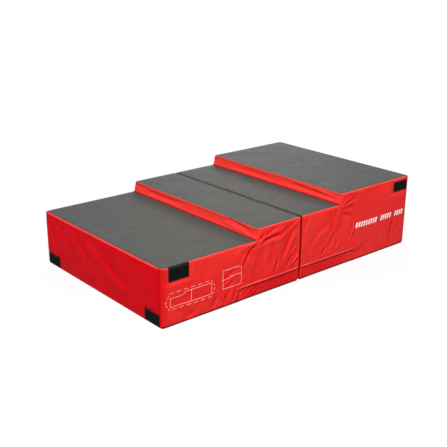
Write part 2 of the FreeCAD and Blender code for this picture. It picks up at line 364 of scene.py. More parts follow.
def thread_material(name, colour, pale):
    """Twisted sewing thread."""
    recipe = Recipe(name, 0.55)
    twist = recipe.noise(2500, 2)
    recipe.paint(recipe.mix(twist, colour, pale))
    recipe.gloss(recipe.ramp(twist, 0.3, 0.7, 0.45, 0.65))
    recipe.bump(twist, 0.08 * MM)
    return recipe.material


def foam_material():
    """Open-cell foam with its cells showing."""
    recipe = Recipe("cell_foam", 0.95, specular=0.1)
    cells = recipe.cells(700.0)
    recipe.paint(recipe.mix(recipe.ramp(cells, 0, 0.6), (0.35, 0.33, 0.28), (0.72, 0.69, 0.6)))
    recipe.gloss(recipe.ramp(cells, 0, 0.6, 0.85, 1))
    recipe.bump(cells, 0.6 * MM)
    return recipe.material


def grip_material():
    """The dark underside: coated fabric with small raised dots that grip the floor."""
    recipe = Recipe("grip_fabric", 0.6, specular=0.4)
    raised = recipe.ramp(recipe.cells(160.0, randomness=0.0), 0.22, 0.36, 1, 0)
    cloudy = recipe.ramp(recipe.noise(6, 4), 0.35, 0.7)
    ground = recipe.mix(cloudy, (0.018, 0.019, 0.019), (0.032, 0.033, 0.032))
    recipe.paint(recipe.mix(raised, ground, (0.012, 0.012, 0.012)))
    recipe.gloss(recipe.ramp(raised, 0, 1, 0.7, 0.45))
    recipe.bump(recipe.math("ADD", raised, recipe.math("MULTIPLY", recipe.weave(1.3 * MM), 0.15)), 0.5 * MM)
    return recipe.material


def nylon_material(name, colour, pale, thread=0.8 * MM):
    """Plain woven nylon tape or webbing."""
    recipe = Recipe(name, 0.7, specular=0.15)
    threads = recipe.weave(thread)
    recipe.paint(recipe.mix(recipe.ramp(threads, 0.4, 1.8), colour, pale))
    recipe.gloss(recipe.ramp(recipe.noise(120, 3), 0.3, 0.7, 0.6, 0.8))
    recipe.bump(threads, 0.25 * MM)
    return recipe.material


def metal_material():
    """Lacquered zip metal with fine scratches."""
    recipe = Recipe("zip_metal", 0.35)
    recipe.shader.inputs["Metallic"].default_value = 1
    scratches = recipe.noise(400, 4, 0.7, stretch=(0.1, 1, 1))
    recipe.paint(recipe.mix(scratches, (0.03, 0.03, 0.032), (0.12, 0.12, 0.125)))
    recipe.gloss(recipe.ramp(scratches, 0.3, 0.7, 0.25, 0.5))
    recipe.bump(scratches, 0.05 * MM)
    return recipe.material


def print_material():
    """White screen print, thin enough for the cloth's red to show through where it is worn."""
    recipe = Recipe("white_print", 0.5)
    patchy = recipe.ramp(recipe.noise(700, 4, 0.6), 0.3, 0.5)
    recipe.paint(recipe.mix(patchy, (0.9, 0.5, 0.47), PRINT_WHITE))
    recipe.gloss(recipe.ramp(patchy, 0, 1, 0.4, 0.6))
    recipe.bump(recipe.weave(1.1 * MM), 0.08 * MM)
    return recipe.material


# Meshes

def link_mesh(name, points, faces, material):
    """A smooth mesh object in the scene with one material."""
    mesh = bpy.data.meshes.new(name)
    mesh.from_pydata([tuple(point) for point in points], [], faces)
    mesh.materials.append(material)
    mesh.update()
    mesh.shade_smooth()
    thing = bpy.data.objects.new(name, mesh)
    bpy.context.collection.objects.link(thing)
    return thing


def finish_piece(thing, body, nodes=()):
    """A piece rides on its body and stands for its nodes."""
    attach(thing, body)
    if nodes:
        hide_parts(*nodes)
    return thing


def add_piece(name, solid, material, body, nodes=()):
    """A finished piece from its points and faces."""
    return finish_piece(link_mesh(name, *solid, material), body, nodes)


def evaluated(thing):
    """An object with its modifiers worked out."""
    return thing.evaluated_get(bpy.context.evaluated_depsgraph_get())


def places_of(mesh):
    """A mesh's vertices as an array."""
    places = np.empty(len(mesh.vertices) * 3)
    mesh.vertices.foreach_get("co", places)
    return places.reshape(-1, 3)


def stations(breaks, spacing=CELL):
    """Places from the first break to the last, evenly spaced between neighbours."""
    places = [breaks[0]]
    for start, end in zip(breaks, breaks[1:]):
        steps = max(1, round((end - start) / spacing))
        places += [start + (end - start) * step / steps for step in range(1, steps + 1)]
    return places


def smoothstep(value, low, high):
    """0 below low, 1 above high, and smooth between."""
    share = np.clip((value - low) / (high - low), 0, 1)
    return share * share * (3 - 2 * share)


def nearest_on_path(points, path):
    """Each point's distance to a path, the side that it lies on, and how far along the path it is."""
    best = np.full(len(points), np.inf)
    sign = np.ones(len(points))
    along = np.zeros(len(points))
    lengths = [math.dist(start, end) for start, end in zip(path, path[1:])]
    passed = 0.0
    for start, end, length in zip(path, path[1:], lengths):
        start, end = np.array(start, float), np.array(end, float)
        direction = (end - start) / length
        offset = points - start
        reach = np.clip(offset @ direction, 0, length)
        distance = np.linalg.norm(offset - np.outer(reach, direction), axis=1)
        closer = distance < best
        best[closer] = distance[closer]
        crossing = direction[0] * offset[:, 1] - direction[1] * offset[:, 0]
        sign[closer] = np.sign(crossing[closer])
        along[closer] = (passed + reach[closer]) / sum(lengths)
        passed += length
    return best, sign, along


def fold_height(points, path, width, height, fade_in=0.15, fade_out=0.5, valley=0.6):
    """A soft fold along a path: a ridge with a hollow on its right, fading towards its ends."""
    distance, sign, along = nearest_on_path(points, path)
    signed = distance * sign
    ridge = np.exp(-(signed / width) ** 2)
    hollow = np.exp(-((signed + 1.7 * width) / width) ** 2)
    fade = smoothstep(along, -0.01, fade_in) * (1 - smoothstep(along, 1 - fade_out, 1.01))
    return height * fade * (ridge - valley * hollow)


def closed_shell(outer, inner, faces):
    """A closed shell from the two faces of a sheet and the rim between them."""
    count = len(outer)
    edges = {}
    for face in faces:
        for start, end in zip(face, (*face[1:], face[0])):
            if (end, start) in edges:
                del edges[(end, start)]
            else:
                edges[(start, end)] = True
    back = [tuple(index + count for index in reversed(face)) for face in faces]
    rim = [(end, start, start + count, end + count) for start, end in edges]
    return np.vstack((outer, inner)), list(faces) + back + rim


def thicken(points, normals, faces, depth):
    """A closed shell from an open sheet, thickened inwards along its normals."""
    return closed_shell(points, points - normals * depth, faces)


def compact(faces):
    """The points that some faces use, in order, and the faces renumbered to them."""
    used = sorted({corner for face in faces for corner in face})
    renumber = {old: new for new, old in enumerate(used)}
    return used, [tuple(renumber[corner] for corner in face) for face in faces]


def sheet_grid(corner_points):
    """Vertices and quads of a grid given as rows of points."""
    rows, columns = len(corner_points), len(corner_points[0])
    points = np.array([point for row in corner_points for point in row], float)
    faces = []
    for row in range(rows - 1):
        for column in range(columns - 1):
            first = row * columns + column
            faces.append((first, first + 1, first + columns + 1, first + columns))
    return points, faces


def grid_normals(points, faces):
    """Area-weighted vertex normals."""
    quads = np.array(faces)
    first = points[quads[:, 2]] - points[quads[:, 0]]
    second = points[quads[:, 3]] - points[quads[:, 1]]
    face_normals = np.cross(first, second)
    normals = np.zeros_like(points)
    for corner in range(4):
        np.add.at(normals, quads[:, corner], face_normals)
    return normals / np.maximum(np.linalg.norm(normals, axis=1), 1e-12)[:, None]


def facing(points, faces, towards):
    """A sheet's faces and normals, turned so that on the whole they point towards a direction."""
    normals = grid_normals(points, faces)
    if np.sum(normals * towards) < 0:
        return [face[::-1] for face in faces], -normals
    return faces, normals


def spread(points):
    """Each point's distance from the fold, from the middle plane and from the floor."""
    return np.abs(points[:, 0]), np.abs(points[:, 1]), points[:, 2]


def bend_at(points, normals, faces):
    """How sharply the cloth bends at each vertex: above 0 on an edge or a ridge, below 0 in a hollow."""
    pairs = np.array([(start, end) for face in faces for start, end in zip(face, (*face[1:], face[0]))])
    step = points[pairs[:, 1]] - points[pairs[:, 0]]
    length = np.maximum(np.linalg.norm(step, axis=1), 1e-9)
    total = np.zeros(len(points))
    count = np.zeros(len(points))
    for own, sign in ((0, -1), (1, 1)):
        np.add.at(total, pairs[:, own], sign * np.sum(step * normals[pairs[:, own]], axis=1) / length)
        np.add.at(count, pairs[:, own], 1)
    return total / np.maximum(count, 1)


def even_noise(points, scale, seed):
    """Smooth noise between about -1 and 1 from a few seeded waves."""
    source = np.random.default_rng(seed)
    total = np.zeros(len(points))
    waves = 14
    for _ in range(waves):
        direction = source.normal(size=3)
        direction /= np.linalg.norm(direction)
        frequency = 2 * math.pi / scale * source.uniform(0.6, 1.6)
        total += np.sin(points @ direction * frequency + source.uniform(0, 2 * math.pi))
    return total / math.sqrt(waves)


# The cover of one half

class Half:
    """One half's outline. x is measured outwards from the fold, and side is -1 or 1."""

    def __init__(self, name, side, outer):
        self.name = name
        self.side = side
        self.outer = outer
        self.low = min(outer, MID_TOP)
        self.high = max(outer, MID_TOP)
        leans_in = side < 0
        self.foot = RISER_START + RISER_RUN if leans_in else RISER_START
        self.head = RISER_START if leans_in else RISER_START + RISER_RUN
        self.fixed = FOLD_GAP if leans_in else HALF_LENGTH
        self.body = name + "_half"
        seam = SEAM_INSET
        self.inner_x = stations((FOLD_GAP, FOLD_GAP + seam, self.foot - seam, self.foot))
        outer_breaks = (HALF_LENGTH - CORNER_ROUND, HALF_LENGTH - seam, HALF_LENGTH)
        self.outer_x = stations((self.foot, self.foot + seam, ZIP_REACH, *outer_breaks))
        side_breaks = (HALF_WIDTH - CORNER_ROUND, HALF_WIDTH - seam, HALF_WIDTH)
        self.across = stations((*(-y for y in reversed(side_breaks)), *side_breaks))
        self.lower_z = stations((0, seam, HEM, HEM + 5 * MM, HEM + 12 * MM, self.low - seam, self.low))
        self.upper_z = stations((self.low, self.low + seam, self.high - seam, self.high), RISER_CELL)

    def leaned(self, x, z):
        """Where a station lies at a height: above the riser's foot, stations lean with the riser."""
        share = max(0.0, (z - self.low) / (self.high - self.low))
        lean = (self.head - self.foot) / (self.foot - self.fixed)
        return self.fixed + (x - self.fixed) * (1 + share * lean)

    def riser_at(self, z):
        """Where the riser lies at each height."""
        return np.array([self.leaned(self.foot, height) for height in z])

    def top_at(self, x):
        """How high the top is at each distance from the fold."""
        return np.where(x > (self.foot + self.head) / 2, self.outer, MID_TOP)

    def rounded(self, x, y):
        """Carries a point near an upright outer corner from the square outline to the round one."""
        turn = HALF_LENGTH - CORNER_ROUND
        along = (x - turn) / CORNER_ROUND
        across = (abs(y) - HALF_WIDTH + CORNER_ROUND) / CORNER_ROUND
        if along <= 0 or across <= 0:
            return x, y
        reach = max(along, across)
        share = min(along, across) / reach
        angle = math.pi / 4 * share if along >= across else math.pi / 4 * (2 - share)
        return (turn + CORNER_ROUND * reach * math.cos(angle),
                math.copysign(HALF_WIDTH - CORNER_ROUND + CORNER_ROUND * reach * math.sin(angle), y))


def half_patches(half):
    """The flat patches of a half's cover as (name, rows of points), before rounding."""
    every_x = half.inner_x + half.outer_x[1:]
    upper_x = half.inner_x if half.side < 0 else half.outer_x
    end_z = half.lower_z if half.side < 0 else half.lower_z + half.upper_z[1:]
    fold_z = half.lower_z if half.side > 0 else half.lower_z + half.upper_z[1:]
    lean = half.leaned
    for where, y in (("side_near", -HALF_WIDTH), ("side_far", HALF_WIDTH)):
        yield where, [[(x, y, z) for x in every_x] for z in half.lower_z]
        yield where, [[(lean(x, z), y, z) for x in upper_x] for z in half.upper_z]
    outer_top = [lean(x, half.outer) if half.side > 0 else x for x in half.outer_x]
    inner_top = [lean(x, MID_TOP) if half.side < 0 else x for x in half.inner_x]
    yield "top_outer", [[(x, y, half.outer) for y in half.across] for x in outer_top]
    yield "top_inner", [[(x, y, MID_TOP) for y in half.across] for x in inner_top]
    yield "riser", [[(lean(half.foot, z), y, z) for y in half.across] for z in half.upper_z]
    yield "end_outer", [[(HALF_LENGTH, y, z) for y in half.across] for z in end_z]
    yield "end_inner", [[(FOLD_GAP, y, z) for y in half.across] for z in fold_z]
    yield "base", [[(x, y, 0) for y in half.across] for x in every_x]


def panel_of(half, patch, x, y, z):
    """The panel of a face, from its patch and its centre, or None where the cloth is open."""
    wraps_side = abs(y) > HALF_WIDTH - SEAM_INSET
    wraps_end = x > HALF_LENGTH - SEAM_INSET
    to_the_edge = y > HALF_WIDTH - SEAM_INSET or wraps_end and half.side > 0
    if patch.startswith("top") and to_the_edge:
        return patch
    if patch == "base" and not (wraps_side or wraps_end):
        return None
    if z < HEM and x < ZIP_REACH and (wraps_side or patch == "end_inner"):
        return None
    if wraps_side:
        return "side_near" if y < 0 else "side_far"
    if wraps_end:
        return "end_outer"
    if patch == "end_inner" and z > MID_TOP - 2 * SEAM_INSET:
        return "top_inner"
    return patch


def cover_mesh(half):
    """The whole cover of a half as one mesh, each face marked with its panel."""
    index = {}
    points = []
    faces = []
    panels = []
    for patch, rows in half_patches(half):
        numbers = []
        for row in rows:
            numbers.append([])
            for place in row:
                key = tuple(round(value / (0.01 * MM)) for value in place)
                if key not in index:
                    index[key] = len(points)
                    points.append(place)
                numbers[-1].append(index[key])
        for low, high in zip(numbers, numbers[1:]):
            for column in range(len(low) - 1):
                face = (low[column], low[column + 1], high[column + 1], high[column])
                centre = np.mean([points[corner] for corner in face], axis=0)
                panel = panel_of(half, patch, *centre)
                if panel:
                    faces.append(face)
                    panels.append(PANEL_ID[panel])
    used, faces = compact(faces)
    return np.array(points, float)[used], faces, panels


def shape_points(half, points):
    """Places of the plain cover: rounded corners and edges, seams drawn in, and on the half's own side."""
    x, y, z = points[:, 0], points[:, 1], points[:, 2]
    across = np.abs(y)
    touching = 0.2 * MM
    on_top = np.abs(z - half.top_at(x)) < touching
    at_side = across > HALF_WIDTH - touching
    at_end = x > HALF_LENGTH - touching
    seam = HALF_WIDTH - SEAM_INSET
    side_seam = (np.abs(across - seam) < touching) & (x < HALF_LENGTH - SEAM_INSET + touching)
    end_seam = (np.abs(x - (HALF_LENGTH - SEAM_INSET)) < touching) & (across < seam + touching)
    at_foot = (np.abs(z - half.low) < touching) & (np.abs(x - half.foot) < touching)
    at_head = (np.abs(z - half.high) < touching) & (np.abs(x - half.head) < touching)
    shaped = np.array([(*half.rounded(*place[:2]), place[2]) for place in points])
    shaped[:, 2] -= np.where(on_top & (side_seam | end_seam), SEAM_DIP, 0)
    shaped[:, 2] -= np.where(on_top & (at_side | at_end), EDGE_PULL, 0)
    shaped[:, 1] -= np.sign(y) * np.where(on_top & at_side, EDGE_PULL, 0)
    shaped[:, 0] -= np.where(on_top & at_end & ~at_side, EDGE_PULL, 0)
    shaped[:, 2] -= np.where(at_foot & ~at_side, FOOT_DIP, 0)
    shaped[:, 2] -= np.where(at_head & ~at_side, EDGE_PULL, 0)
    step_corner = (np.abs(x - half.riser_at(z)) < touching) & at_side & (z > half.low + touching)
    shaped[:, 0] += np.where(step_corner, half.side * CORNER_PULL, 0)
    shaped[:, 1] -= np.sign(y) * np.where(step_corner, CORNER_PULL, 0)
    on_floor = z < touching
    shaped[:, 1] -= np.sign(y) * np.where(on_floor & at_side, FLOOR_TUCK, 0)
    shaped[:, 0] -= np.where(on_floor & at_end, FLOOR_TUCK / 3, 0)
    beside_fold = (x < FOLD_GAP + touching) & on_top
    shaped[:, 2] -= np.where(beside_fold, CORNER_PULL, 0)
    shaped[:, 0] *= half.side
    return shaped


def simulate(thing, pinned, steps=22):
    """Lets the cloth between the seams take its slack, and returns the moved places."""
    group = thing.vertex_groups.new(name="pin")
    group.add([int(number) for number in np.nonzero(pinned)[0]], 1.0, "REPLACE")
    cloth = thing.modifiers.new("cloth", "CLOTH")
    cloth.settings.vertex_group_mass = "pin"
    cloth.settings.effector_weights.gravity = 0
    for setting, value in CLOTH.items():
        setattr(cloth.settings, setting, value)
    cloth.collision_settings.use_collision = False
    cloth.collision_settings.use_self_collision = False
    cloth.point_cache.frame_start = 1
    cloth.point_cache.frame_end = steps
    scene = bpy.context.scene
    for step in range(1, steps + 1):
        scene.frame_set(step)
    moved = places_of(evaluated(thing).data)
    thing.modifiers.remove(cloth)
    scene.frame_set(1)
    return moved


def capped(offset, limit):
    """The offsets with none longer than the limit, eased so that no flat cap shows."""
    length = np.linalg.norm(offset, axis=1)
    eased = limit * np.tanh(length / limit)
    return offset * (eased / np.maximum(length, 1e-9))[:, None]


def pinned_points(half, points):
    """The points that the cloth keeps: beside every edge and seam, along the hem and at the floor."""
    x, y, z = points[:, 0], np.abs(points[:, 1]), points[:, 2]
    rim = SEAM_INSET + 0.5 * MM
    beside = (
        y > HALF_WIDTH - rim,
        x > HALF_LENGTH - rim,
        x < FOLD_GAP + rim,
        np.abs(z - half.top_at(x)) < rim,
        (np.abs(x - half.riser_at(z)) < rim) & (z > half.low - rim),
    )
    at_hem = (np.abs(z - HEM) < 0.5 * MM) & (x < ZIP_REACH + rim)
    return (np.sum(beside, axis=0) > 1) | at_hem | (z < rim)


def slack_cloth(half, points, shaped, faces):
    """Where the cloth simulation leaves the cover's points, between pinned seams."""
    thing = link_mesh(half.name + "_cloth", shaped, faces, bpy.data.materials.new("unused"))
    source = np.random.default_rng(SEED + half.side)
    free = ~pinned_points(half, points)
    start = shaped + source.normal(scale=0.25 * MM, size=shaped.shape) * free[:, None]
    thing.data.vertices.foreach_set("co", start.ravel())
    moved = simulate(thing, ~free)
    bpy.data.objects.remove(thing)
    return shaped + capped(moved - shaped, 4 * MM)


def subdivided(points, faces, panels):
    """One round of smooth subdivision, with each new face in the panel of the old one."""
    thing = link_mesh("coarse", points, faces, bpy.data.materials.new("unused"))
    thing.data.polygons.foreach_set("material_index", panels)
    thing.modifiers.new("finer", "SUBSURF").levels = 1
    fine = bpy.data.meshes.new_from_object(evaluated(thing))
    places = places_of(fine)
    ids = np.empty(len(fine.polygons), int)
    fine.polygons.foreach_get("material_index", ids)
    quads = [tuple(face.vertices) for face in fine.polygons]
    bpy.data.objects.remove(thing)
    bpy.data.meshes.remove(fine)
    return places, quads, ids


# Folds placed one by one. A path is in millimetres on its own face; width and height are millimetres too.
# On the near and far sides a path is (x, z), on the outer ends (y, z), on the tops (x, y), on risers (y, up).

SIDE_FOLDS = (
    # from the foot of the low riser
    (((-256, 250), (-243, 256), (-210, 282)), 6, -3.2),
    (((-254, 251), (-229, 256), (-165, 285), (-115, 292)), 7, -3.6),
    (((-252, 248), (-196, 262), (-125, 268), (-70, 286)), 9, 4.0),
    (((-240, 246), (-196, 247), (-125, 246), (-77, 268), (-50, 285)), 9, -3.0),
    (((-258, 246), (-300, 246), (-355, 229), (-394, 195)), 14, 3.6),
    (((-258, 244), (-290, 222), (-320, 192), (-341, 158), (-341, 100)), 9, -3.8),
    (((-245, 232), (-270, 180), (-300, 110)), 12, 1.8),
    (((-170, 236), (-178, 162), (-204, 90)), 18, -2.4),
    # slanting down towards the fold
    (((-30, 246), (-48, 216), (-87, 150), (-127, 102), (-159, 74)), 13, 4.2),
    (((-18, 170), (-34, 148), (-58, 129), (-87, 100), (-120, 76)), 8, -3.6),
    (((-10, 136), (-30, 118), (-66, 82)), 7, 3.2),
    (((-10, 112), (-26, 103), (-64, 76)), 7, -2.0),
    (((-140, 140), (-152, 110), (-174, 76)), 8, -2.2),
    (((-128, 150), (-138, 118), (-158, 80)), 8, 2.0),
    (((-8, 292), (-60, 262), (-90, 226)), 10, 2.0),
    # below the left half's figures
    (((-415, 16), (-396, 72), (-372, 130)), 10, 2.6),
    (((-465, 8), (-440, 60), (-420, 84)), 9, 1.6),
    (((-512, 10), (-490, 50), (-470, 84)), 11, -2.4),
    (((-392, 8), (-372, 40), (-356, 66)), 9, 2.2),
    (((-376, 6), (-364, 30), (-356, 44)), 9, -1.4),
    (((-660, 10), (-600, 40), (-560, 66)), 14, -1.8),
    (((-452, 96), (-400, 122), (-356, 146)), 7, 1.8),
    (((-448, 128), (-400, 152), (-352, 172)), 6, -1.8),
    # from the foot of the high riser
    (((254, 302), (276, 316), (331, 338)), 7, -1.7),
    (((256, 300), (300, 304), (390, 320)), 9, -1.5),
    (((254, 304), (290, 312), (352, 332)), 7, 1.7),
    (((256, 294), (300, 292), (372, 300)), 11, 1.6),
    (((262, 286), (294, 283), (366, 274)), 11, -1.5),
    (((262, 268), (300, 264), (356, 252)), 11, 1.4),
    (((258, 262), (280, 254), (356, 230)), 11, -1.5),
    (((249, 292), (222, 212), (183, 140)), 14, 2.6),
    (((364, 206), (366, 186), (359, 160), (319, 84)), 10, -3.0),
    (((352, 200), (352, 160), (306, 84)), 10, 2.8),
    (((214, 190), (207, 164), (176, 120), (161, 84)), 10, -3.2),
    (((195, 216), (120, 181), (60, 120), (40, 90)), 15, 3.2),
    (((158, 124), (149, 110), (124, 80)), 8, -2.1),
    (((172, 122), (160, 104), (138, 80)), 8, 1.9),
    (((268, 120), (258, 100), (240, 78)), 8, -1.7),
    (((250, 132), (236, 104), (220, 78)), 8, 2.0),
    (((60, 280), (36, 230), (20, 160)), 12, 1.8),
    (((424, 84), (411, 60), (371, 20)), 11, -2.1),
    (((640, 150), (632, 126), (607, 34)), 11, -2.3),
    (((664, 150), (650, 100), (640, 30)), 9, 1.8),
    (((560, 120), (540, 60), (530, 20)), 12, 1.4),
)
END_FOLDS = (
    (((430, 232), (427, 197), (386, 128), (341, 60)), 15, 2.6),
    (((330, 215), (325, 193), (279, 139), (215, 60)), 18, 2.8),
    (((230, 215), (209, 187), (125, 120), (22, 60)), 22, 2.8),
    (((120, 205), (39, 170), (-122, 95), (-241, 60)), 24, 3.0),
    (((-30, 140), (-92, 110), (-182, 85), (-286, 45)), 18, 2.2),
    (((-330, 215), (-361, 182), (-423, 100)), 20, 1.8),
    (((380, 236), (330, 170), (285, 60)), 13, 1.4),
)
HIGH_TOP_FOLDS = (
    (((290, 436), (325, 395), (417, 310), (628, 184)), 9, -3.6),
    (((340, 446), (380, 424), (670, 214)), 14, 2.6),
    (((515, 149), (622, -78)), 14, 0.9),
    (((420, 60), (520, -40)), 16, 0.6),
    (((330, -120), (470, -260)), 18, 0.5),
)
LOW_TOP_FOLDS = (
    (((-700, -250), (-560, -60), (-420, 60)), 34, 0.9),
    (((-640, 120), (-480, 260), (-330, 330)), 30, 0.9),
    (((-330, -380), (-430, -300), (-560, -270)), 26, 0.7),
)
MID_TOP_FOLDS = (
    (((30, -430), (110, -330), (200, -300)), 16, 0.8),
    (((60, -400), (190, -380)), 10, 0.7),
    (((-200, -380), (-90, -250)), 22, 0.5),
    (((180, 300), (90, 380)), 20, 0.5),
)
RISER_FOLDS = {
    "low": (
        (((446, 36), (410, 34), (340, 40)), 7, -3.0),
        (((350, 24), (222, 25), (106, 27), (10, 36)), 8, -3.2),
        (((340, 12), (200, 11), (60, 12)), 7, 2.4),
        (((-245, 45), (-300, 40), (-368, 31), (-430, 14)), 7, -5.6),
        (((-230, 26), (-300, 20), (-368, 13), (-434, 7)), 8, 4.2),
    ),
    "high": (
        (((250, 24), (154, 26), (13, 22), (-60, 20)), 7, -2.8),
        (((330, 10), (154, 9), (0, 9)), 6, 2.2),
        (((-110, 28), (-220, 26), (-330, 22), (-440, 15)), 6, -5.6),
        (((-100, 10), (-240, 10), (-340, 9), (-446, 8)), 6, 4.4),
        (((-200, 39), (-330, 36), (-440, 28)), 6, 2.8),
    ),
}


def folds_on(plane, folds):
    """The summed height of a list of folds at points on a plane."""
    total = np.zeros(len(plane))
    for path, width, height in folds:
        route = [(first * MM, second * MM) for first, second in path]
        total += fold_height(plane, route, width * MM, height * MM)
    return total


def inside(value, low, high, margin):
    """1 between two limits, falling to 0 over the margin outside them."""
    return smoothstep(value, low - margin, low) * (1 - smoothstep(value, high, high + margin))


def quiet_places(half, points, panel):
    """Where nothing may swell: 1 under the tabs and patches, else 0."""
    margin = 14 * MM
    reach, across, z = spread(points)
    if panel.startswith("side"):
        strap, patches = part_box("tab_near_strap"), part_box("high_side_patches")
        bottom = strap[0].z if half.side < 0 else patches[0].z
        return inside(reach, -strap[1].x, patches[1].x, margin) * inside(z, bottom, 1, margin)
    if panel == "end_outer":
        low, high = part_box(half.name + "_end_patches")
        return inside(across, high.y - PATCH_LENGTH, high.y, margin) * inside(z, -1, high.z, margin)
    return np.zeros(len(points))


def side_relief(half, points, panel):
    """How far the near or far side stands out at each point."""
    far = panel == "side_far"
    reach, _, z = spread(points)
    relief = folds_on(points[:, (0, 2)], SIDE_FOLDS)
    if far:
        relief = relief * (0.6 + 0.25 * even_noise(points, 0.5, 3))
    top = half.top_at(reach)
    waves = even_noise(points * (1, 1, 0.6), 0.22, 10 if far else 12) * 0.9 * MM
    belly = 1.2 * MM * smoothstep(z, 0, 90 * MM) * (1 - smoothstep(z, top - 0.1, top))
    relief = relief + waves + belly + 0.8 * MM * zip_zone(points)
    hem_roll = np.exp(-((z - HEM - 3 * MM) / (5.5 * MM)) ** 2) * 2.6 * MM
    past_zip = smoothstep(reach, ZIP_REACH - 4 * MM, ZIP_REACH + 36 * MM)
    relief = relief + hem_roll * (1 - past_zip) * smoothstep(reach, FOLD_GAP, FOLD_GAP + 15 * MM)
    sunk = (1 - smoothstep(reach, ZIP_REACH, ZIP_REACH + 45 * MM)) * (1 - above_hem(z))
    relief = relief - BAND_FACE * sunk * (reach > ZIP_REACH - 1 * MM)
    return relief * steady_edges(z, top)


def above_hem(z):
    """0 well below the hem's edge, rising to 1 at it."""
    return smoothstep(z, HEM - 12 * MM, HEM)


def steady_edges(z, top):
    """0 at the floor and at the top edge, where seams hold the cloth, and 1 between them."""
    return smoothstep(top - z, 0, 7 * MM) * smoothstep(z, 0, 10 * MM)


def zip_zone(points):
    """1 on the sides over the zip, where the cloth may not dip, and 0 well away from it."""
    reach, _, z = spread(points)
    margin = 24 * MM
    along = 1 - smoothstep(reach, ZIP_REACH, ZIP_REACH + margin)
    return along * (1 - smoothstep(z, ZIP_CLEAR, ZIP_CLEAR + margin)) * above_hem(z)


def end_relief(half, points):
    """How far an outer end stands out at each point."""
    plane = points[:, (1, 2)] * (1, LOW_TOP / half.outer)
    z = points[:, 2]
    relief = folds_on(plane * (half.side * -1, 1), END_FOLDS)
    waves = even_noise(points * (1, 1, 0.7), 0.25, 21 + half.side) * 0.4 * MM
    belly = 1.4 * MM * smoothstep(z, 0, 80 * MM) * (1 - smoothstep(z, half.outer - 0.1, half.outer))
    return (relief + waves + belly) * steady_edges(z, half.outer)


def top_relief(half, points, folds):
    """How far a top stands up: a few flat folds and a faint quilt of the foam below."""
    relief = folds_on(points[:, :2], folds)
    waves = even_noise(points, 0.3, 31 + half.side) * 0.3 * MM
    rim = np.minimum(HALF_WIDTH - np.abs(points[:, 1]), HALF_LENGTH - np.abs(points[:, 0]))
    return (relief + waves) * smoothstep(rim, SEAM_INSET, SEAM_INSET + 12 * MM)


def riser_relief(half, points):
    """How far a riser stands out: a long hollow, and creases that run into its near corner."""
    up = points[:, 2] - half.low
    plane = np.column_stack((points[:, 1], up))
    relief = folds_on(plane, RISER_FOLDS[half.name])
    waves = even_noise(points, 0.16, 41 + half.side) * 0.3 * MM
    height = half.high - half.low
    ends = smoothstep(HALF_WIDTH - np.abs(points[:, 1]), 0, 8 * MM)
    rim = smoothstep(up, 0, 6 * MM) * smoothstep(height - up, 0, 6 * MM)
    recess = RISER_RECESS * smoothstep(up, 4 * MM, 22 * MM) * smoothstep(height - up, 2 * MM, 16 * MM)
    return (relief + waves - recess) * ends * rim


def soft_limit(relief, outward, inward):
    """Relief eased so that it stays under a height outwards and a depth inwards."""
    return np.where(relief > 0, outward * np.tanh(relief / outward), inward * np.tanh(relief / inward))


def panel_normal(half, panel):
    """The direction that a panel faces."""
    lean = np.array((half.side * (half.foot - half.head), 0, half.high - half.low))
    riser = np.cross((0, 1, 0), lean) * (1 if half.side < 0 else -1)
    riser = riser / np.linalg.norm(riser)
    if riser[0] > 0:
        riser = -riser
    outward = {
        "end_outer": (half.side, 0, 0), "end_inner": (-half.side, 0, 0),
        "top_outer": (0, 0, 1), "top_inner": (0, 0, 1), "riser": riser,
        "side_near": (0, -1, 0), "side_far": (0, 1, 0),
    }
    return np.array(outward[panel], float)


def relief_of(half, points, panel):
    """How far a panel stands out at each point, before it is limited."""
    if panel.startswith("side"):
        return side_relief(half, points, panel)
    if panel == "end_outer":
        return end_relief(half, points)
    if panel == "end_inner":
        return even_noise(points, 0.2, 5) * 0.3 * MM
    if panel == "riser":
        return riser_relief(half, points)
    if panel == "top_inner":
        return top_relief(half, points, MID_TOP_FOLDS)
    return top_relief(half, points, LOW_TOP_FOLDS if half.side < 0 else HIGH_TOP_FOLDS)


def dressed(half, plain, slack, faces, ids):
    """The cover's final places: the simulated slack and the placed folds on each panel."""
    moved = plain.copy()
    offset = slack - plain
    for panel, (slack_share, outward) in SLACK_AND_LIMIT.items():
        numbers = compact(faces_of(faces, ids, panel))[0]
        normal = panel_normal(half, panel)
        points = plain[numbers]
        slack_height = offset[numbers] @ normal * slack_share
        inward = TOP_DENT if panel.startswith("top") else DENT_LIMIT
        height = soft_limit(relief_of(half, points, panel) + slack_height, outward, inward)
        if panel.startswith("side"):
            height = np.where(height < 0, height * (1 - zip_zone(points)), height)
        quiet = quiet_places(half, points, panel)
        height = height * (1 - quiet) - 0.3 * MM * quiet
        moved[numbers] += np.outer(height * face_weight(half, points, panel), normal)
    return moved


def faces_of(faces, ids, panel):
    """The faces that belong to a panel."""
    return [face for face, owner in zip(faces, ids) if owner == PANEL_ID[panel]]


